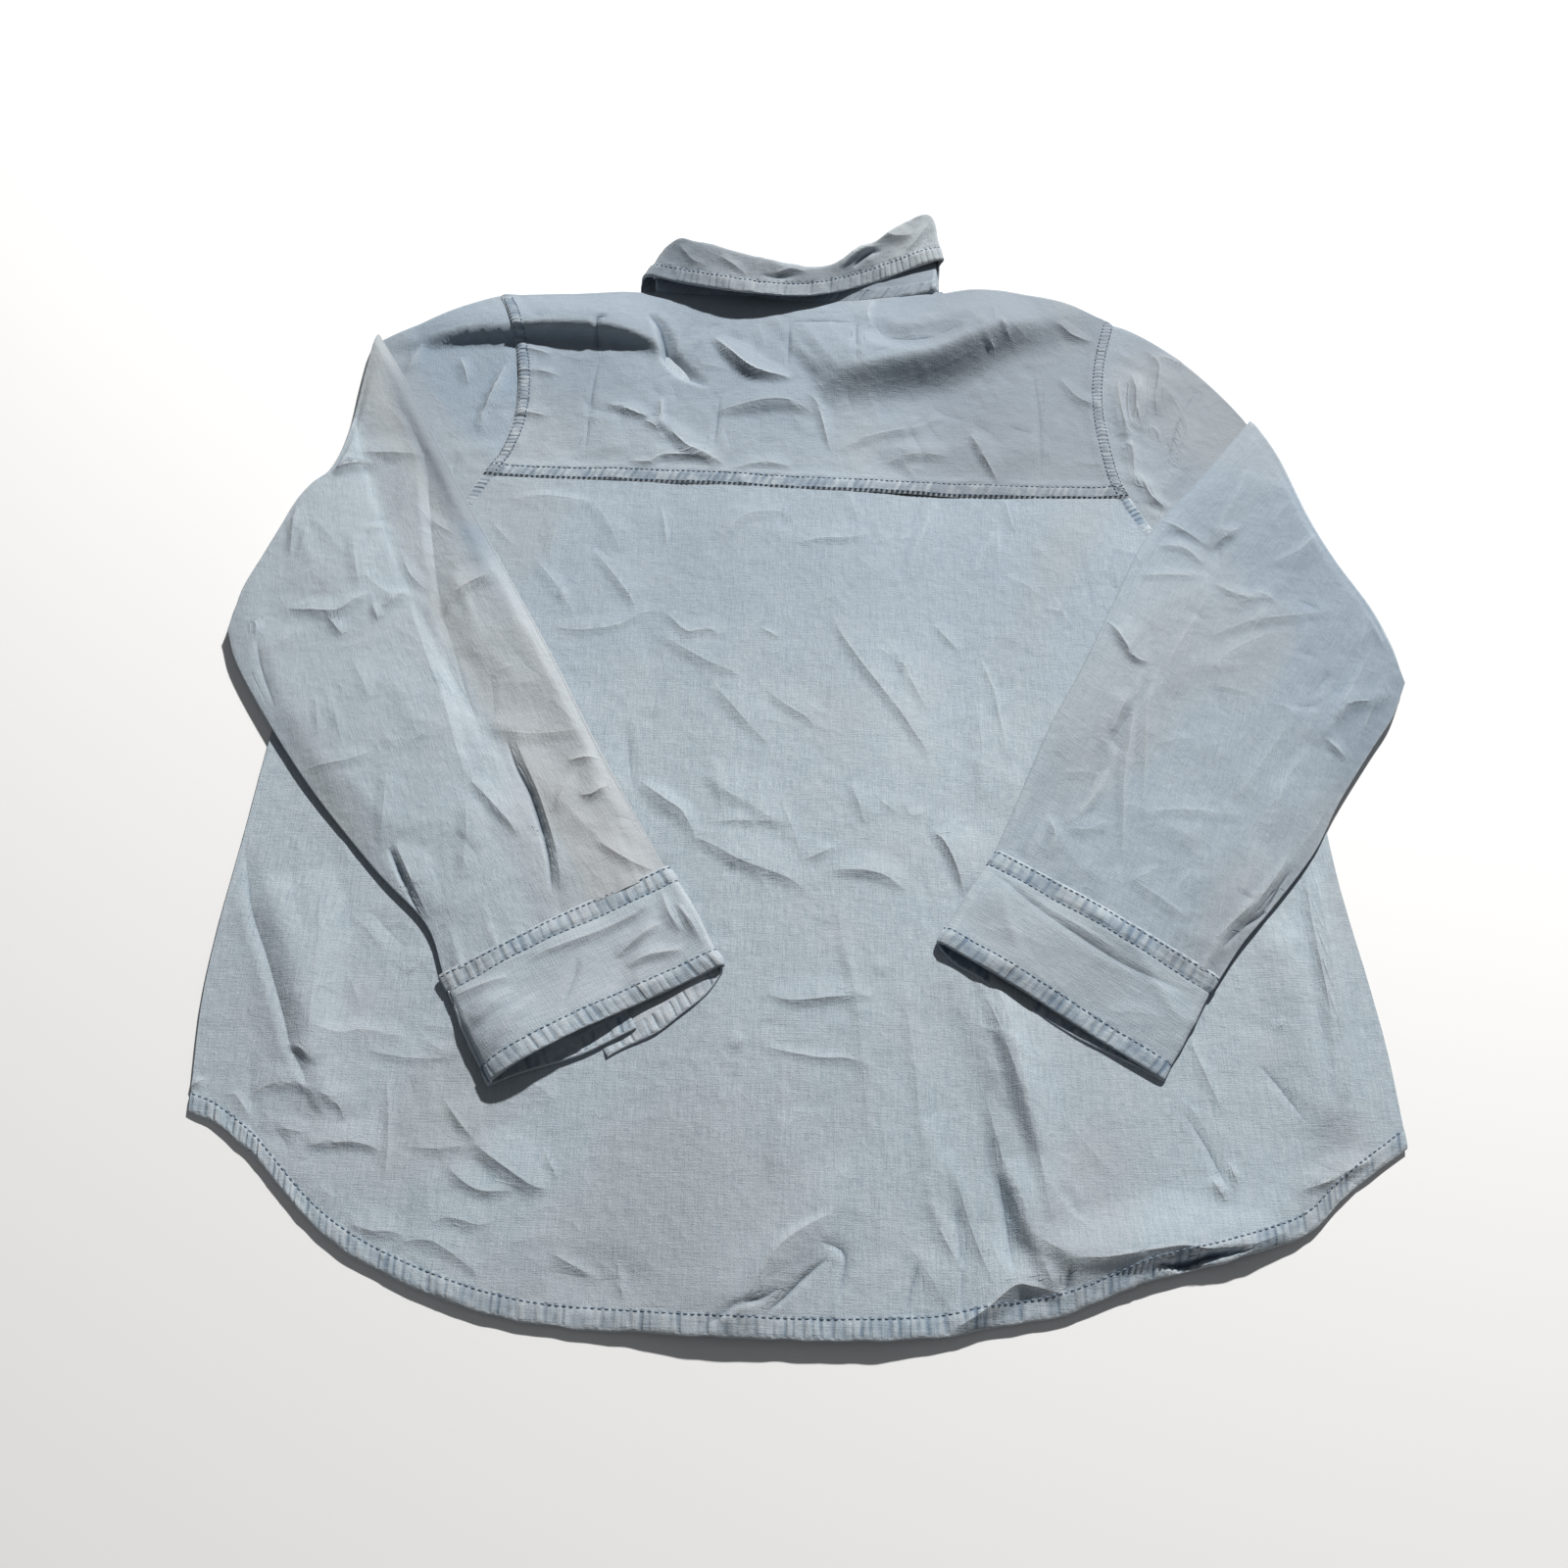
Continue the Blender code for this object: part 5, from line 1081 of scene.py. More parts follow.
def seam_puckers():
    """Puckered cloth between a sewn edge and its stitches, blue in its hollows and pale along its
    edge, partly from wear and partly as a painted highlight. Seam counts puckers in x and is 0
    at the edge and 1 at the stitches in y."""
    nodes, given, put = new_group("seam puckers", {"Seam": "Vector"}, {"Tone": "Float", "Height": "Float"})
    parts = nodes.add("ShaderNodeSeparateXYZ", {"Vector": given["Seam"]}).outputs
    sway = nodes.noise(nodes.stretch(given["Seam"], 0.8, 0.35), 1.0, 1.0)
    count = nodes.times_plus(sway, 0.8, parts["X"])
    middle = nodes.math("ABSOLUTE", nodes.minus(nodes.math("FRACT", count), 0.5))
    white = nodes.add("ShaderNodeTexWhiteNoise", {"W": nodes.math("FLOOR", count)}, noise_dimensions="1D")
    strong = nodes.ramp(white.outputs["Value"], 0.0, 0.9, 0.25, 1.0)
    line = nodes.times(nodes.ramp(middle, 0.0, 0.36, 1.0, 0.0), strong)
    patch = nodes.noise(nodes.stretch(given["Seam"], 0.5, 0.6), 1.0, 2.0)
    patch = nodes.ramp(patch, 0.36, 0.64, -0.45, 0.35)
    off = parts["Y"]
    inside = nodes.times(nodes.ramp(off, 0.0, 0.12), nodes.ramp(off, 0.98, 1.14, 1.0, 0.0))
    # Painted highlight, with some wear, along the band's folded edge.
    edge = nodes.times(nodes.ramp(off, 0.04, 0.16, 1.0, 0.0), 0.45)
    body = nodes.times(inside, nodes.times_plus(line, -0.85, patch))
    nodes.set(put["Tone"], nodes.plus(body, edge))
    ribs = nodes.minus(nodes.times(patch, 0.4), line)
    nodes.set(put["Height"], nodes.times(inside, ribs))
    return nodes.tree


def crease_crests():
    """The last bit of sharpness that a crease's crest has, and its tone along the line: a painted
    highlight with some wear on a crest, painted shade in a trough.
    """
    nodes, given, put = new_group("crease crests", {"Line": "Vector"}, {"Height": "Float", "Tone": "Float"})
    parts = nodes.add("ShaderNodeSeparateXYZ", {"Vector": given["Line"]}).outputs
    far = nodes.math("ABSOLUTE", parts["X"])
    near = nodes.minus(1.0, nodes.math("MINIMUM", nodes.math("DIVIDE", far, CREST), 1.0))
    nodes.set(put["Height"], nodes.times(parts["Y"], nodes.math("POWER", near, 2.0)))
    # Painted highlight, with some wear, along a crest's line; painted shade along a trough's.
    pale = nodes.times(nodes.ramp(far, 0.0, 0.12, 1.0, 0.0), 5.0)
    nodes.set(put["Tone"], nodes.times(parts["Y"], pale))
    return nodes.tree


def rumple():
    """Small crushes in the cloth, finer than its grid of points."""
    nodes, given, put = new_group("rumple", {"Place": "Vector"}, {"Height": "Float"})
    wide = nodes.noise(given["Place"], 60.0, 3.0, 0.55)
    sharp = nodes.noise(given["Place"], 95.0, 2.0, 0.5)
    sharp = nodes.math("ABSOLUTE", nodes.minus(sharp, 0.5))
    nodes.set(put["Height"], nodes.times_plus(wide, 1.0, nodes.times(sharp, -1.2)))
    return nodes.tree


def new_material(name, **settings):
    """A new material, its nodes and its shader's sockets, with the given ones set."""
    made = bpy.data.materials.new(name)
    made.use_nodes = True
    sockets = made.node_tree.nodes["Principled BSDF"].inputs
    for title, value in settings.items():
        sockets[title.replace("_", " ")].default_value = value
    return made, Nodes(made.node_tree), sockets


def chambray(name, rumple_depth=0.0007, roping=1.0):
    """Washed chambray. roping is how much the ribs of its sewn bands show in its colour."""
    made, nodes, shader = new_material(
        name, Roughness=0.92, Specular_IOR_Level=0.18, Sheen_Weight=0.12, Sheen_Roughness=0.5)

    def read(kind, socket, **settings):
        return nodes.add(kind, **settings).outputs[socket]

    def effect(tree, **given):
        return nodes.add("ShaderNodeGroup", given, node_tree=tree).outputs

    place = read("ShaderNodeTexCoord", "Object")
    tone = read("ShaderNodeAttribute", "Fac", attribute_name="tone")
    warm = read("ShaderNodeAttribute", "Fac", attribute_name="warm")
    weave = effect(YARNS, Cut=read("ShaderNodeUVMap", "UV", uv_map="cut"))
    sewn = effect(PUCKERS, Seam=read("ShaderNodeUVMap", "UV", uv_map="seam"))
    crest = effect(CRESTS, Line=read("ShaderNodeUVMap", "UV", uv_map="crests"))
    folds = effect(RUMPLE, Place=place)
    tone = nodes.plus(nodes.times_plus(sewn["Tone"], roping, tone), crest["Tone"])
    dye = effect(WASH, Place=place, Streak=weave["Streak"], Tone=tone, Warm=warm)
    nodes.set(shader["Base Color"], dye["Color"])
    bumps = ((crest, CM), (folds, rumple_depth), (sewn, 0.0005), (weave, 0.0004))
    below = {}
    for outputs, depth in bumps:
        bump = nodes.add("ShaderNodeBump", {"Height": outputs["Height"], "Distance": depth, **below})
        below = {"Normal": bump.outputs["Normal"]}
    nodes.set(shader["Normal"], below["Normal"])
    return made


def thread():
    """Slate-blue sewing thread, paler in places from wear."""
    made, nodes, shader = new_material("sewing thread", Roughness=0.7)
    place = nodes.add("ShaderNodeTexCoord").outputs["Object"]
    paler = nodes.ramp(nodes.noise(place, 240.0, 2.0), 0.4, 0.65)
    colour = nodes.mix(paler, (0.105, 0.155, 0.220, 1.0), (0.240, 0.300, 0.370, 1.0))
    nodes.set(shader["Base Color"], colour)
    twist = nodes.add("ShaderNodeBump", {"Height": nodes.noise(place, 3000.0, 1.0), "Distance": 0.0001})
    nodes.set(shader["Normal"], twist.outputs["Normal"])
    return made


def shell():
    """Pale pearly plastic for the buttons."""
    made, nodes, shader = new_material("button shell", Roughness=0.28, Coat_Weight=0.4)
    place = nodes.add("ShaderNodeTexCoord").outputs["Object"]
    swirl = nodes.ramp(nodes.noise(place, 260.0, 3.0, 0.6), 0.35, 0.7)
    colour = nodes.mix(swirl, (0.62, 0.62, 0.58, 1.0), (0.84, 0.83, 0.80, 1.0))
    nodes.set(shader["Base Color"], colour)
    return made


YARNS = slub_yarns()
WASH = washed_cloth()
RUMPLE = rumple()
PUCKERS = seam_puckers()
CRESTS = crease_crests()
CHAMBRAY = chambray("chambray")
CHAMBRAY_FIRM = chambray("chambray, interlined", rumple_depth=0.0005)
CHAMBRAY_COLLAR = chambray("chambray, collar", rumple_depth=0.0006, roping=0.32)
THREAD_BLUE = thread()
SHELL = shell()


def edge_shares(length, band):
    """Shares of a length for rows that are close together in a band and wider apart past it."""
    near = np.arange(0.0, band, EDGE_STEP)
    rest = np.linspace(band, length, int((length - band) / STEP))
    return np.concatenate([near, rest]) / length


def side_line(side_points, armhole_points, corner, shares):
    """One side of the back, up its side seam and its armhole to the yoke's corner."""
    line = np.vstack([curve(side_points, even(80))[:-1],
                      armhole(armhole_points, armhole_points[0][1], corner, 60)])
    return resample(line, shares)


def flat_edges(x, y):
    """Flat distances of a grid's places from its first row, and from its first and last column."""
    flat = np.dstack([x, y, np.zeros_like(x)])
    return edge_distance(flat, 0), edge_distance(flat, 1), edge_distance(flat, 1, True)


def back_surface(x, y):
    """Height of the back with its creases, and the map of their crests."""
    rise, crests = creased(x, y, creases_of(BACK_CREASES, SCATTER_BACK))
    z = upper(x, y) + rise
    z = z + 0.04 * crumple(x, y, 4.2, 101, 80, 1.8) + 0.016 * crumple(x, y, 1.9, 105, -60, 1.4)
    return z + 0.10 * noise(x, y, 7.0, 109, 85, 2.0), crests


def back():
    """The back panel, from its hem to the yoke's seam."""
    shares = edge_shares(BACK_LENGTH, EDGE_ROWS)
    left = side_line(SIDE_LEFT, ARMHOLE_LEFT, YOKE_LINE[0][1], shares)
    right = side_line(SIDE_RIGHT, ARMHOLE_RIGHT, YOKE_LINE[-1][1], shares)
    across = even(int(BACK_WIDTH / STEP))
    bottom = hem(HEM[0][0] + (HEM[-1][0] - HEM[0][0]) * across)
    plan = patch(bottom, curve(YOKE_LINE, across), left, right)
    x, y = plan[..., 0], plan[..., 1]
    off_hem, *off_sides = flat_edges(x, y)
    along_hem = off_sides[0]
    z, crests = back_surface(x, y)
    z = z + pucker(along_hem, off_hem, HEM_BAND, 201, HEM_ROW, pitch=0.7)
    bands = [(along_hem, off_hem, HEM_ROW, 0.45)]
    for far, off in enumerate(off_sides):
        z = z + smooth((y - UNDERARM) / 0.8) * pucker(off_hem, off, ARM_BAND, 211 + far, pitch=0.6)
        bands.append((off_hem, off + FAR * (y < UNDERARM), 0.7, 0.36))
    seam = seam_map(z.shape, *bands)
    y[0] += 0.06 * noise(along_hem[0], 0.0 * along_hem[0], 0.9, 231)
    body = np.dstack([x, y, z])
    # Tone lowered towards the yoke, and painted light on the lower left corner, against the shade of the
    # folds there.
    paler = 0.3 * smooth((-16.0 - x) / 8.0) * smooth((-16.0 - y) / 8.0)
    tone = wear_and_painted_light(body) - 0.30 * smooth((y + 8.0) / 14.0) + paler
    # The hem's edge turns down and under, and is pale from wear.
    turned = body[0] + np.array([[[0.0, 0.05, -0.20]], [[0.0, -0.01, -0.12]], [[0.0, -0.03, -0.04]]])
    grid = np.concatenate([turned, body])
    tone, seam, crests = [np.concatenate([np.repeat(values[:1], len(turned), axis=0), values])
                          for values in (tone, seam, crests)]
    tone[:len(turned)] += 0.5
    warm = 0.8 * worn_warm(grid[..., 0], grid[..., 1], 0.25, 6.0, 241, 60, 1.6)
    made = add_sheet("back_cloth", grid, grid[..., :2], CHAMBRAY, tone, warm, seam, crests)
    sewn = stitch_mesh("hem_stitches", [row_line(body, off_hem, HEM_ROW)])
    finish_piece(made, "back", with_pieces=[sewn])


def yoke_surface(x, y):
    """Height of the yoke with its creases and sewn bands, the map of its crests, the bands of
    its seam map, and how far each place is off its seam and off its two sides."""
    off_seam, *off_sides = flat_edges(x, y)
    along = off_sides[0]
    rise, crests = creased(x, y, creases_of(YOKE_CREASES, SCATTER_YOKE))
    z = upper(x, y) + rise
    z = z + 0.05 * crumple(x, y, 3.4, 301, 20, 1.4) + 0.02 * crumple(x, y, 1.7, 305, 60, 1.3)
    z = z + 0.10 * noise(x, y, 5.0, 309)
    lift = 0.09 * smooth(off_seam / 0.1) * smooth((1.9 - off_seam) / 0.9)
    z = z + lift + pucker(along, off_seam, SEAM_BAND, 311, *YOKE_ROWS)
    bands = [(along, off_seam, YOKE_ROWS[1], 0.5)]
    for far, off in enumerate(off_sides):
        bands.append((off_seam, off, ARM_ROWS[1], 0.36))
        z = z + 0.09 * smooth(off / 0.1) * smooth((1.5 - off) / 0.7)
        z = z + pucker(off_seam, off, ARM_BAND, 321 + far, *ARM_ROWS, pitch=0.6)
    return z, crests, bands, off_seam, off_sides


def yoke_under(edge, roll):
    """The yoke's rows that roll over the shoulders and lie under them."""
    base = lower(edge[:, 0], edge[:, 1])
    rows = []
    for a in np.radians(np.linspace(0, 180, 15)[1:]):
        height = base + (edge[:, 2] - base) * 0.5 * (1 + np.cos(a))
        rows.append(np.column_stack([edge[:, 0], edge[:, 1] + roll * np.sin(a), height]))
    ends = np.column_stack([edge[:, 0], np.full(len(edge), FRONT_TOP)])
    for share in even(10)[1:]:
        under = edge[:, :2] * (1 - share) + ends * share
        rows.append(np.column_stack([under, lower(under[:, 0], under[:, 1])]))
    return np.array(rows)


def yoke():
    """The yoke, which rolls over both shoulders to a strip under them and is open at the neck."""
    neck_starts, neck_count, right_count = 50, 100, 60
    neck_ends = neck_starts + neck_count - 1
    top = np.vstack([
        curve(SHOULDER_LEFT, even(neck_starts)),
        curve(BACK_NECK, even(neck_count))[1:],
        curve(SHOULDER_RIGHT, even(right_count))[1:],
    ])
    shoulder = np.ones(len(top), bool)
    shoulder[neck_starts:neck_ends] = False
    shares = edge_shares(YOKE_LENGTH, EDGE_ROWS)
    left = armhole(ARMHOLE_LEFT, YOKE_LINE[0][1], ARMHOLE_LEFT[-1][1], 200)
    right = armhole(ARMHOLE_RIGHT, YOKE_LINE[-1][1], ARMHOLE_RIGHT[-1][1], 200)
    plan = patch(curve(YOKE_LINE, shares_of(top)), top, resample(left, shares), resample(right, shares))
    roll = 0.5 * (upper(top[:, 0], top[:, 1] - 0.5) - lower(top[:, 0], top[:, 1]))
    plan[..., 1] -= smooth((shares - 0.85) / 0.15)[:, None] * roll * shoulder
    x, y = plan[..., 0], plan[..., 1]
    z, crests, bands, off_seam, off_sides = yoke_surface(x, y)
    body = np.dstack([x, y, z])
    under = yoke_under(body[-1], roll)
    grid = np.vstack([body, under])
    # Painted shade with some deeper dye over the yoke; tone lowered further, and warmer, towards the
    # wearer's right.
    tone = wear_and_painted_light(body) + upper_dye_and_painted_shade(x, y) - 0.60 * smooth((x - 2.0) / 10.0)
    tone = np.vstack([tone, np.full(under.shape[:2], -0.5)])
    seam = np.vstack([seam_map(z.shape, *bands), seam_map(under.shape[:2])])
    crests = np.vstack([crests, no_crests(*under.shape[:2])])
    keep = np.ones((len(grid) - 1, len(top) - 1), bool)
    keep[len(shares) - 1:, neck_starts - 1:neck_ends] = False
    warm = 0.5 + 0.5 * worn_warm(grid[..., 0], grid[..., 1], 0.3, 5.0, 341)
    warm += 0.9 * smooth((grid[..., 0] - 2.0) / 10.0)
    made = add_sheet("yoke_cloth", grid, grid[..., 1::-1], CHAMBRAY, tone, warm, seam, crests, keep=keep)
    lines = [row_line(body, off_seam, row) for row in YOKE_ROWS]
    rows = np.arange(2, len(shares) - 1)
    lines += [column_line(body, off, row, rows) for off in off_sides for row in ARM_ROWS]
    sewn = stitch_mesh("yoke_stitches", lines)
    finish_piece(made, "yoke", with_pieces=[sewn])


def front(name, side):
    """One of the fronts, plain as nothing of them shows. The left one steps over the right."""
    seam, hole = (SIDE_LEFT, ARMHOLE_LEFT) if side < 0 else (SIDE_RIGHT, ARMHOLE_RIGHT)
    start = -side * OVERLAP
    shares = even(90)
    bottom = hem(start + (seam[0][0] - start) * shares, FRONT_LIFT)
    outer = np.vstack([curve(seam, even(80))[:-1], armhole(hole, hole[0][1], FRONT_TOP, 60)])
    outer[0] = bottom[-1]
    neck_x = np.linspace(OVERLAP + 1.0, NECK_HALF, 20)
    neck_y = FRONT_NECK + (FRONT_TOP - FRONT_NECK) * (neck_x / NECK_HALF) ** 2
    neck = np.column_stack([side * neck_x, neck_y])
    inner = np.vstack([[start, bottom[0][1]], [start, FRONT_NECK], neck])
    rows = even(160)
    inner, outer = resample(inner, rows), resample(outer, rows)
    plan = patch(bottom, np.linspace(inner[-1], outer[-1], len(shares)), inner, outer)
    x, y = plan[..., 0], plan[..., 1]
    z = lower(x, y)
    if side < 0:
        z = z + (WALL + GAP) * smooth((x + 6.8) / 1.8)
    grid = np.dstack([x, y, z])
    made = add_sheet(f"{name}_cloth", grid, grid[..., :2], CHAMBRAY, flip=True)
    finish_piece(made, name)


# ---------------------------------------------------------------- sleeves
def sleeve_levels(x, y, w, s, crown):
    """Heights of a folded sleeve's lower and upper wall."""
    cuff = smooth((s - CUFF_EASE) / (1.0 - CUFF_EASE))
    line = through(np.array(crown), 200)
    puff = np.interp(w, line[:, 0], line[:, 1])
    under = upper(x, y) + WALL + CLEARANCE + (CUFF_INNER - WALL - CLEARANCE) * cuff
    apart = WALL + LOFT + (CUFF_TOP - CUFF_INNER - WALL - LOFT) * cuff
    even = 0.4 * np.sin(np.pi * np.clip(w, 0, 1)) ** 0.8
    return under, under + apart + puff + (even - puff) * cuff


def ring_round(first, second, first_z, second_z, reach):
    """One ring round a flattened tube, its walls joined by half rounds."""
    def pulled(line, z_here, z_there):
        way = (line[-1] - line[0]) / np.linalg.norm(line[-1] - line[0])
        room = np.minimum(0.5 * np.abs(z_there - z_here), reach)
        ease = even(len(line))
        return line + way * (room[0] * (1 - ease) ** 8)[:, None] - way * (room[-1] * ease ** 8)[:, None]

    def half_round(end, inward, z_from, z_to):
        half = 0.5 * (z_to - z_from)
        out = min(abs(half), reach)
        return [np.array([*(end + inward * out * (1 - np.cos(a))), z_from + half * (1 + np.sin(a))])
                for a in np.radians(np.linspace(-60.0, 60.0, RIM))]

    a, b = pulled(first, first_z, second_z), pulled(second, second_z, first_z)
    inward = (first[-1] - first[0]) / np.linalg.norm(first[-1] - first[0])
    ring = list(np.column_stack([a, first_z]))
    ring += half_round(first[-1], -inward, first_z[-1], second_z[-1])
    ring += list(np.column_stack([b[::-1], second_z[::-1]]))
    ring += half_round(first[0], inward, second_z[0], first_z[0])
    return np.array(ring)


def upper_wall(values):
    """Values along a folded sleeve's upper wall, for its whole ring: 0 on its lower wall."""
    return np.concatenate([values, np.zeros(RIM + len(values)), values[:RIM]])


def sleeve_lines(form):
    """A sleeve's armhole and its fold, point by point from the shoulder down: shares of the
    armhole's length, the armhole, the fold, and the line inside it that its near part ends at."""
    side = form["side"]
    hole = armhole(form["armhole"], form["armhole"][0][1], form["armhole"][-1][1], SLEEVE_ACROSS)[::-1]
    way = np.gradient(hole, axis=0)
    normal = np.column_stack([way[:, 1], -way[:, 0]]) / np.linalg.norm(way, axis=1)[:, None]
    hole = hole + 0.3 * side * normal * smooth((1 - even(SLEEVE_ACROSS)) / 0.15)[:, None]
    w = shares_of(hole)
    fold = curve(form["fold"], np.interp(w, [0.0, 0.85, 1.0], [0.0, UNDERARM_SHARE, 1.0]))
    fold = fold - np.array([side * FOLD_TURN, 0.0])
    return w, hole, fold, resample(fold, w * 0.965)


def near_rings(form, rows, w, hole, fold, tucked):
    """A sleeve's part from the armhole to the fold: its rings, their crests and their tone."""
    rings, crests, tones = [], [], []
    for p in even(NEAR_RINGS):
        line = (1 - p) * hole + p * (fold + (tucked - fold) * smooth(p))
        line[:, 1] += UNDERARM_BOW * p * (1 - p) * w ** 6
        line += np.outer((1 - w) ** 6, form["bow"]) * np.sin(np.pi * p ** 0.85) ** 0.8
        x, y = line[:, 0], line[:, 1]
        lift = smooth(p / 0.12) * smooth((1 - p) / 0.1)
        gathers = 0.12 * crumple(w * 40.0, 0 * w, 1.6, 401) * np.exp(-p / 0.25)
        rise, crest = creased(x, y, rows)
        z = upper(x, y) - 0.05 * (1 - smooth(p / 0.1)) + lift * (gathers + rise)
        z = np.maximum(z, FLOOR_LEVEL + 0.12)
        rings.append(ring_round(line, line, np.full(len(w), FLOOR_LEVEL), z, WIDE_RIM))
        crests.append(np.vstack([no_crests(len(w) + RIM), crest[::-1], no_crests(RIM)]))
        x, y = rings[-1][:, 0], rings[-1][:, 1]
        # Painted shade with some deeper dye on the upper part, and a painted highlight, pale and warm, on
        # the cloth by the armhole.
        dye_and_painted_shade = upper_dye_and_painted_shade(x, y) * smooth((y - 3.0) / 8.0) - form["deep"]
        painted_highlight = form["head_highlight"] * smooth((0.42 - p) / 0.3) * (0.8 + 0.5 * noise(x, y, 2.5, 433))
        tones.append(dye_and_painted_shade + painted_highlight)
    return rings, crests, tones


def fold_rings(form, w, fold, tucked):
    """A sleeve's rings that turn round its fold."""
    side = form["side"]
    x, y = fold[:, 0], fold[:, 1]
    under, top = sleeve_levels(x, y, w, 0.0, form["crown"])
    rings = []
    for a in np.radians(np.linspace(0, 180, FOLD_RINGS + 2)[1:-1]):
        rise = 0.5 * (1 - np.cos(a))
        ends = fold + (tucked - fold) * (1 - smooth(2.0 * rise))
        out = np.sin(a) * smooth((1.0 - w) / 0.06)[:, None]
        first = ends + np.array([side * FOLD_TURN, 0.0]) * out
        second = ends + np.array([side * 0.08, 0.0]) * out
        first_z = FLOOR_LEVEL + (top - FLOOR_LEVEL) * rise
        second_z = upper(x, y) + (under - upper(x, y)) * rise
        rings.append(ring_round(first, second, first_z, second_z, 0.1))
    return rings


def far_rings(form, rows, w, fold):
    """A sleeve's part from the fold to the cuff: its rings, their crests, how much each point
    is on the facet beside its inner edge, and their tone."""
    side = form["side"]
    facet, facet_top, facet_end, _ = form["facet"]
    rings, crests, facets, tones = [], [], [], []
    steps = even(FAR_RINGS)
    start, end = fold[0], fold[-1]
    inner = curve([tuple(start)] + form["inner"][1:], steps)
    outer = curve([tuple(end)] + form["outer"][1:], steps)
    bow = fold - (start + (end - start) * w[:, None])
    for s, a, b in zip(steps, inner, outer):
        line = a + (b - a) * w[:, None] + bow * (1 - s) ** 4
        x, y = line[:, 0], line[:, 1]
        under, top = sleeve_levels(x, y, w, s, form["crown"])
        ease = smooth(w / 0.08) * smooth((1 - w) / 0.08) * smooth(s / 0.03)
        rise, crest = creased(x, y, rows)
        crushed = 0.09 * crumple(x, y, 3.2, 411, 60 * side, 1.6)
        waved = 0.2 * noise(x, y, 4.5, 415, 60 * side, 1.6)
        gathers = 0.1 * crumple(w * 14.0, 0 * w, 1.3, 421) * smooth((s - 0.86) / 0.14)
        top = top + ease * (rise + crushed + waved + gathers)
        rings.append(ring_round(line, line, np.maximum(top, under + 0.1), under, WIDE_RIM))
        crests.append(np.vstack([crest, no_crests(RIM + len(w) + RIM)]))
        facets.append(upper_wall(smooth((facet + 0.03 - w) / 0.06)))
        # Painted shade along the inner edge, and painted light and shade on the facet beside it.
        inner_edge_painted_shade = form["edge"] * smooth((0.16 - w) / 0.1) * smooth(s / 0.15) * smooth((0.6 - s) / 0.2)
        shade = facet_top + (facet_end - facet_top) * smooth((s - 0.2) / 0.3)
        tones.append(shade * facets[-1] - upper_wall(inner_edge_painted_shade))
    return rings, crests, np.array(facets), tones


def sleeve(name, form):
    """A sleeve: one tube that runs out to its fold and back over the shirt to its cuff."""
    side = form["side"]
    w, hole, fold, tucked = sleeve_lines(form)
    tables = NEAR_CREASES[name], SLEEVE_CREASES[name]
    near_rows, far_rows = [creases_of(rows, SCATTER_SLEEVES[name]) for rows in tables]
    near, near_crests, near_tone = near_rings(form, near_rows, w, hole, fold, tucked)
    turned = fold_rings(form, w, fold, tucked)
    far, far_crests, facets, far_tone = far_rings(form, far_rows, w, fold)
    grid = np.array(near + turned + far)
    crests = np.array(near_crests + [no_crests(grid.shape[1])] * len(turned) + far_crests)
    tone = wear_and_painted_light(grid)
    tone[:len(near)] += near_tone
    tone[-len(far):] += far_tone
    cut = np.dstack([edge_distance(grid, 1), lengths_down(grid)])
    warm = 0.9 * worn_warm(grid[..., 0], grid[..., 1], 0.1, 5.0, 431, 60 * side, 1.8)
    # The painted highlight by the armhole is warm, and so is the facet's painted shade.
    warm[:len(near)] += 2.2 * form["head_highlight"]
    warm[-len(far):] += form["facet"][-1] * facets
    made = add_sheet(f"{name}_cloth", grid, cut, CHAMBRAY, tone, warm, crests=crests, ring=True,
                     flip=side > 0)
    finish_piece(made, name)


# ---------------------------------------------------------------- cuffs
def cuff_section(form, q):
    """A cuff's section q of the way to its mouth, round its lower layer, an edge, its upper
    layer, the other edge and its inner layer: shares of its width, slips past the mouth and
    heights."""
    end, low, inside, high = form["end"], CUFF_OUTER, CUFF_INNER - 0.06, CUFF_TOP + 0.1
    open_here = 0.4 + (form["gape"] - 0.4) * smooth(q)
    peak = 1.0 + (form["peak"] - 1.0) * smooth(1.6 * q)
    outer = np.linspace(end, 0.02, CUFF_LOWER)
    upper_share = np.linspace(0.02, 0.98, CUFF_UPPER)
    inner = np.linspace(0.98, end - 0.15, CUFF_LOWER)
    turn = np.radians(np.linspace(-75, 75, CUFF_TURN))
    slip = form["slip"] * (1.0 - (1.0 - outer / end) ** 4) * (1.0 + form["wave"] * np.sin(22.0 * outer))
    parts = [
        (outer, slip * q ** 2, low),
        (0.02 - 0.02 * np.cos(turn), 0.0, 0.5 * (low + high) + 0.5 * (high - low) * np.sin(turn)),
        (upper_share, -form["back"] * q ** 2 * np.sin(np.pi * upper_share),
         high + open_here * np.sin(np.pi * upper_share ** peak) ** 0.8),
        (0.98 + 0.02 * np.cos(turn), 0.0, 0.5 * (inside + high) - 0.5 * (high - inside) * np.sin(turn)),
        (inner, form["under_slip"] * q ** 2 * smooth((0.98 - inner) / 0.4), inside),
    ]
    share, slip, height = np.hstack([np.broadcast_arrays(*part) for part in parts])
    height = height * (1.0 - form["flat"] * smooth(q) * smooth((share - 0.3) / 0.4))
    sag = smooth((height - low) / 0.2) * smooth(share / 0.1) * smooth((0.5 - share) / 0.15)
    return share, slip, height - form["sag"] * q * sag


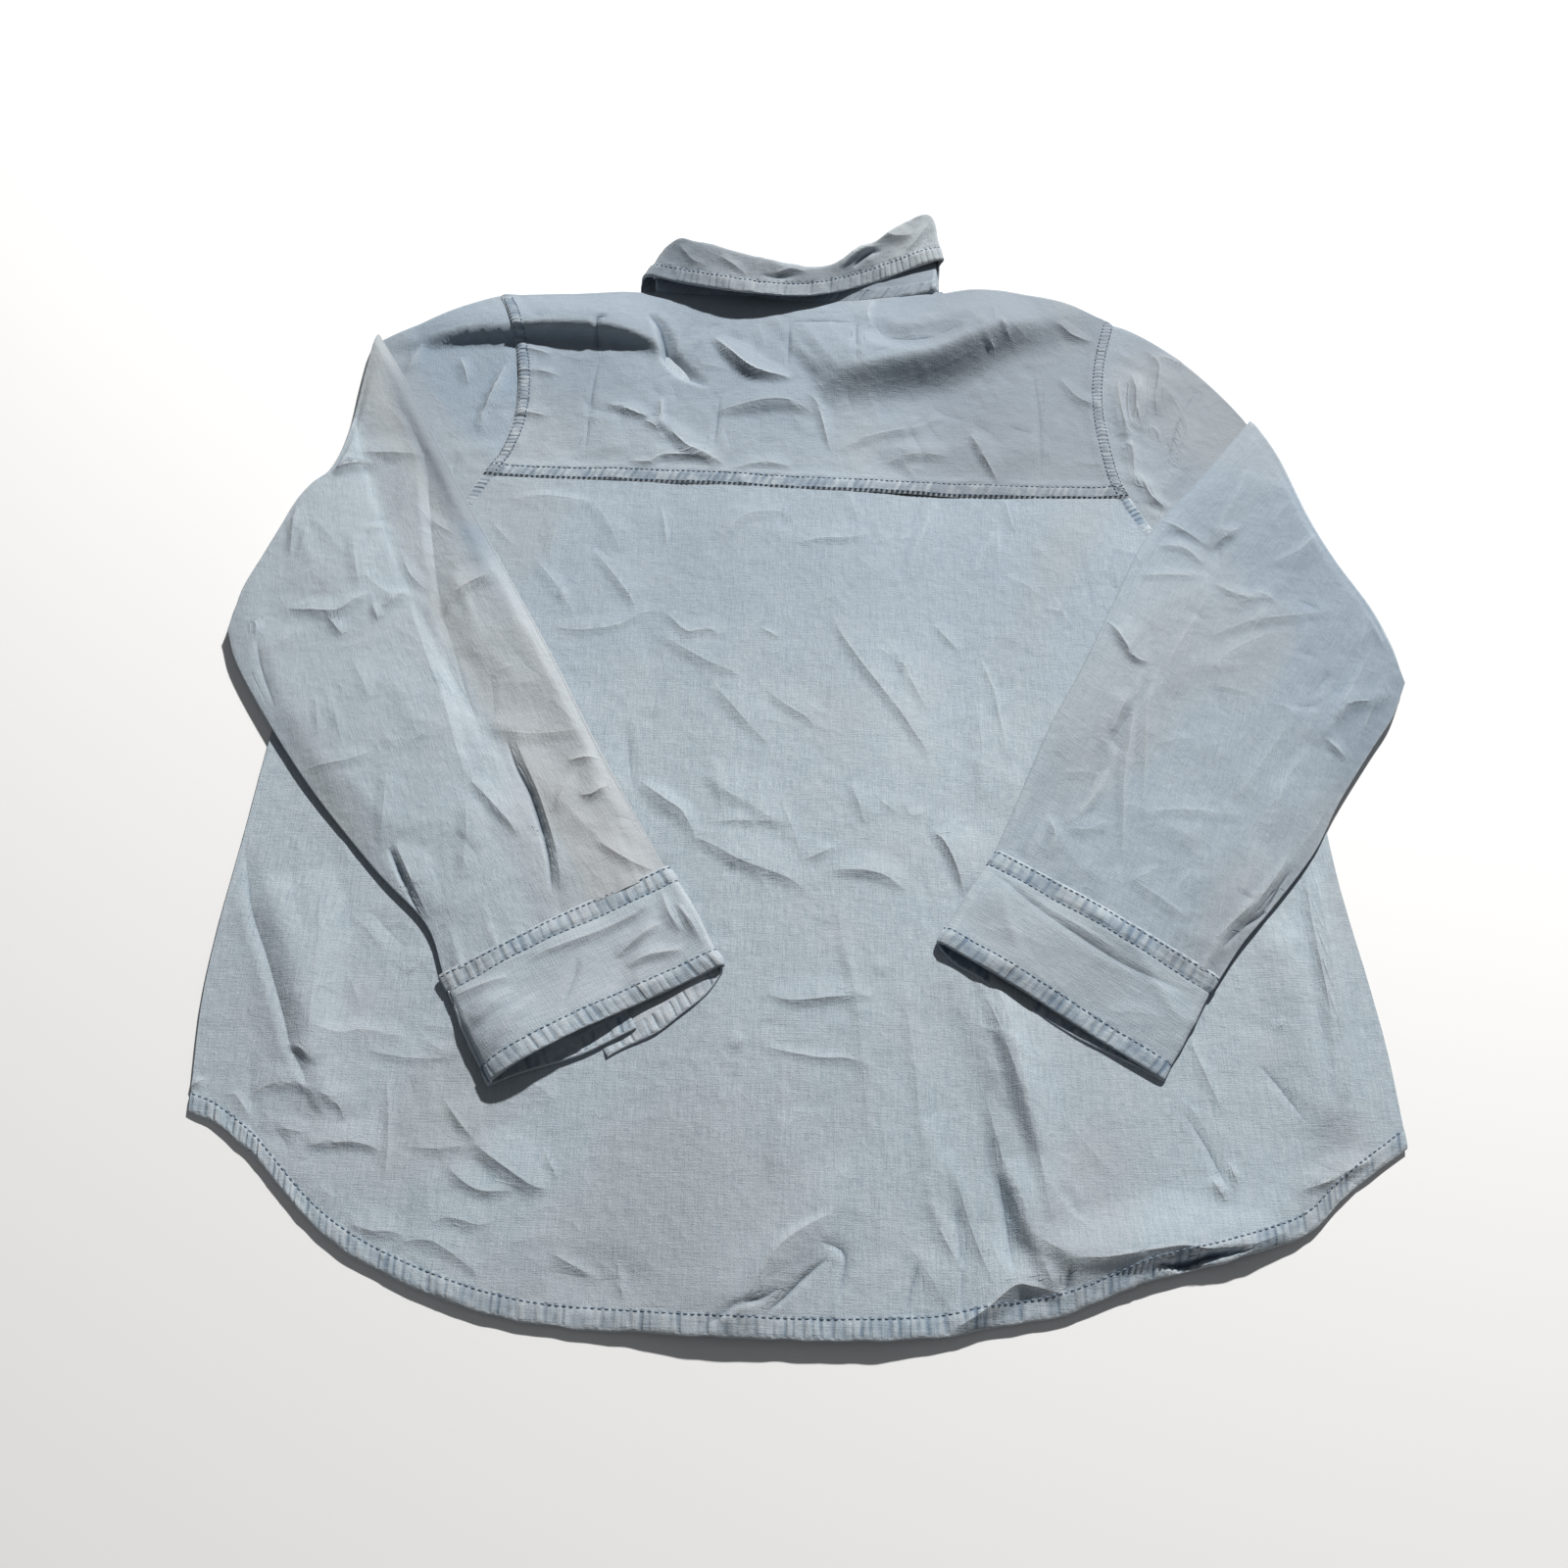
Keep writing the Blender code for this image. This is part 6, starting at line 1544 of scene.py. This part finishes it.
def cuff(name, form):
    """A cuff: an open strip that laps over itself underneath, and its rows of stitches."""
    holder = SLEEVES[form["sleeve"]]
    side = holder["side"]
    inner, outer = np.array(holder["inner"][-1]), np.array(holder["outer"][-1])
    across = (outer - inner) / np.linalg.norm(outer - inner)
    ahead = np.array([-across[1], across[0]]) * -side
    corner = 0.5 * (inner + outer) - across * CUFF_WIDTH / 2 - ahead * CUFF_LAP
    sections = []
    for q in even(CUFF_SECTIONS):
        share, slip, height = cuff_section(form, q)
        spots = corner + across * (CUFF_WIDTH * share)[:, None]
        spots = spots + ahead * ((CUFF_LENGTH + CUFF_LAP) * q + slip)[:, None]
        sections.append(np.column_stack([spots, upper(spots[:, 0], spots[:, 1]) + height]))
    grid = np.array(sections)
    along = edge_distance(grid, 1)
    off_seam, off_mouth = edge_distance(grid, 0), edge_distance(grid, 0, True)
    over, down = np.meshgrid(share * CUFF_WIDTH, np.linspace(0.0, CUFF_LENGTH, len(grid)))
    columns = np.arange(grid.shape[1])
    top = (columns > CUFF_LOWER + CUFF_TURN) & (columns < CUFF_LOWER + CUFF_TURN + CUFF_UPPER - 1)
    rise, crests = creased(over, down, CUFF_CREASES[name])
    crests[:, ~top] = (FAR, 0.0)
    rows = (off_seam, SEAM_ROWS[0]), (off_seam, SEAM_ROWS[1]), (off_mouth, MOUTH_ROW)
    bands = (along, off_seam, SEAM_ROWS[1], 0.55), (along, off_mouth, MOUTH_ROW, 0.5)
    seam = seam_map(along.shape, *bands)
    swell = 0.12 * crumple(along, off_seam, 2.6, 507, 50, 1.5) + 0.16 * noise(along, off_seam, 2.6, 509)
    middle = smooth(off_seam / 0.8) * smooth(off_mouth / 0.8)
    height = pucker(along, off_seam, SEAM_BAND, 501, *SEAM_ROWS) + middle * (swell + rise * top)
    height = height + pucker(along, off_mouth, SEAM_BAND, 503, MOUTH_ROW, pitch=0.62)
    grid = grid - side * normals_of(grid) * height[..., None]
    warm = 0.5 * worn_warm(along, off_seam, 0.2, 3.0, 511)
    tone = wear_and_painted_light(grid) + form["shade"]
    # Painted light on the lower layers at the mouth for the left cuff, painted shade for the right.
    mouth = smooth((off_mouth - 0.1) / 0.1) * smooth((2.0 - off_mouth) / 1.0)
    tone[:, :CUFF_LOWER] += form["mouth_painted_light"] * mouth[:, :CUFF_LOWER]
    made = add_sheet(f"{name}_cloth", grid, np.dstack([off_seam, along]), CHAMBRAY_FIRM, tone, warm,
                     seam, crests, wall=THICK, flip=side > 0)
    lines = [row_line(grid, off, row, columns[2:-2], -side) for off, row in rows]
    sewn = stitch_mesh(f"{name}_stitches", [(line + 0.5 * THICK * up, up) for line, up in lines])
    finish_piece(made, name, with_pieces=[sewn])


# ---------------------------------------------------------------- collar
def collar_stand():
    """The band round the neck, sewn in at the back."""
    rows = [[(nx, ny, nz, place == "back"), (tx, ty, tz, 0.0)] for place, nx, ny, nz, tx, ty, tz in STAND]
    stations = through(np.array(rows), COLLAR_COLUMNS)
    on_back = smooth((stations[:, 0, 3] - 0.3) / 0.4)
    stations[:, 0, 2] += on_back * upper(stations[:, 0, 0], stations[:, 0, 1])
    skirt = stations[:, 0] - np.array([0.0, 0.15, TUCKED, 0.0]) * on_back[:, None]
    body = [stations[:, 0] * (1 - share) + stations[:, 1] * share for share in even(22)]
    grid = np.array([skirt] + body)[..., :3]
    along, off = edge_distance(grid, 1), np.maximum(edge_distance(grid, 0) - TUCKED, 0.0)
    height = pucker(along, off, 1.0, 601) + 0.07 * noise(along, off, 1.6, 605)
    grid = grid + normals_of(grid) * height[..., None]
    seam = seam_map(along.shape, (along, off + 0.15, 0.9, 0.5))
    # Painted shade: the whole stand is toned deep blue, most of all at its left, under the fall.
    tone = wear_and_painted_light(grid) - 0.9 - 1.2 * smooth((1.8 - grid[..., 0]) / 2.2)
    made = add_sheet("collar_stand_cloth", grid, np.dstack([off, along]), CHAMBRAY_COLLAR, tone,
                     np.ones_like(tone), seam, wall=THICK)
    finish_piece(made, "collar_stand")


def collar_fall():
    """The collar's folded leaf, from the stand's top over its crest to its edge."""
    table = np.array(FALL).reshape(len(FALL), 3, 3)
    root, crest, edge = table[:, 0], table[:, 1], table[:, 2]
    middle = 0.5 * (crest + edge)
    middle[:, 2] -= 0.08 * np.clip(edge[:, 2] - 0.1, 0.0, 1.0)
    across = through(np.stack([root, crest, middle, edge]), 40)
    grid = np.swapaxes(through(np.swapaxes(across, 0, 1), COLLAR_COLUMNS), 0, 1)
    off = edge_distance(grid, 0, True)
    along = edge_distance(grid, 1)[-1] + 0.0 * off
    crushed = 0.07 * noise(along, off, 1.9, 615) + 0.05 * crumple(along, off, 1.5, 617)
    height = pucker(along, off, 1.15, 611, FALL_ROW) + smooth(off / 1.2) * crushed
    rise, crests = creased(grid[..., 0], off, FALL_CREASES)
    shown = smooth((grid[..., 2] - 1.5) / 0.5)
    crests[..., 1] *= shown
    grid = grid - normals_of(grid) * (height + rise * shown)[..., None]
    grid[..., 2] = np.maximum(grid[..., 2], FLOOR_LEVEL)
    x = grid[..., 0]
    # Painted light and shade: toned down overall, lighter at its right end, which faces the lamp, and
    # lowered again at its left end, which faces away.
    tone = wear_and_painted_light(grid) - 0.45 + 0.6 * smooth((x - 3.0) / 3.0) - 0.5 * smooth((-6.0 - x) / 4.0)
    seam = seam_map(along.shape, (along, off, 1.1, 0.48))
    made = add_sheet("collar_fall_cloth", grid, np.dstack([off, along]), CHAMBRAY_COLLAR, tone,
                     np.full_like(tone, 1.1), seam, crests, wall=THICK, flip=True)
    line, up = row_line(grid, off, FALL_ROW, np.arange(2, grid.shape[1] - 2), -1)
    line = line + 0.5 * THICK * up
    line[:, 2] = np.maximum(line[:, 2], 2 * FLOOR_LEVEL)
    sewn = stitch_mesh("collar_stitches", [(line, up)])
    finish_piece(made, "collar_fall",
                 with_pieces=[sewn])


# ---------------------------------------------------------------- studio
def studio():
    """A plain pale floor, one small lamp and a little light from all round."""
    half = 6.0
    floor_mesh = bpy.data.meshes.new("floor")
    corners = [(-half, -half, 0), (half, -half, 0), (half, half, 0), (-half, half, 0)]
    floor_mesh.from_pydata(corners, [], [(0, 1, 2, 3)])
    paper, _, _ = new_material("floor paper", Base_Color=(0.90, 0.90, 0.90, 1.0), Roughness=0.9)
    floor_mesh.materials.append(paper)
    floor = bpy.data.objects.new("floor", floor_mesh)
    floor.location.z = -0.0005
    bpy.context.scene.collection.objects.link(floor)

    world = bpy.data.worlds.new("studio air")
    world.use_nodes = True
    air = world.node_tree.nodes["Background"].inputs
    air["Color"].default_value = (0.93, 0.96, 1.0, 1.0)
    air["Strength"].default_value = 0.13
    bpy.context.scene.world = world

    key = bpy.data.lights.new("key", "AREA")
    key.shape = "DISK"
    key.size = 0.14
    key.energy = 140.0
    key.color = (1.0, 0.985, 0.96)
    lamp = bpy.data.objects.new("key", key)
    bearing, height, distance = np.radians(22.0), np.radians(40.0), 3.0
    level = distance * np.cos(height)
    lamp.location = Vector((np.sin(bearing) * level, np.cos(bearing) * level, np.sin(height) * distance))
    lamp.rotation_euler = (-lamp.location).to_track_quat("-Z", "Y").to_euler()
    bpy.context.scene.collection.objects.link(lamp)
    bpy.context.scene.view_settings.view_transform = "Standard"


def camera():
    """Looks down on the shirt from beyond its hem."""
    tilt, turn, roll = np.radians(61.0), np.radians(-0.38), np.radians(1.948)
    distance = 0.7884
    target = PLAN_ORIGIN + np.array([-1.037, -8.951, 0.0]) * CM
    back = np.array([np.sin(turn) * np.cos(tilt), -np.cos(turn) * np.cos(tilt), np.sin(tilt)])
    level = np.cross(-back, [0, 0, 1])
    level /= np.linalg.norm(level)
    up = np.cross(level, -back)
    right = level * np.cos(roll) + up * np.sin(roll)
    over = -level * np.sin(roll) + up * np.cos(roll)
    lens = bpy.data.cameras.new("camera")
    lens.lens = 31.5
    lens.sensor_width = 36.0
    view = bpy.data.objects.new("camera", lens)
    turned = Matrix([list(row) for row in np.column_stack([right, over, back])])
    view.matrix_world = Matrix.Translation(target + back * distance) @ turned.to_4x4()
    bpy.context.scene.collection.objects.link(view)
    bpy.context.scene.camera = view


# ---------------------------------------------------------------- the shirt
front("front_right", 1)
front("front_left", -1)
back()
yoke()
for name, form in SLEEVES.items():
    sleeve(name, form)
for name, form in CUFFS.items():
    cuff(name, form)
collar_stand()
collar_fall()
for name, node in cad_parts.items():
    if "button" in name:
        node.data.materials.clear()
        node.data.materials.append(SHELL)
studio()
camera()
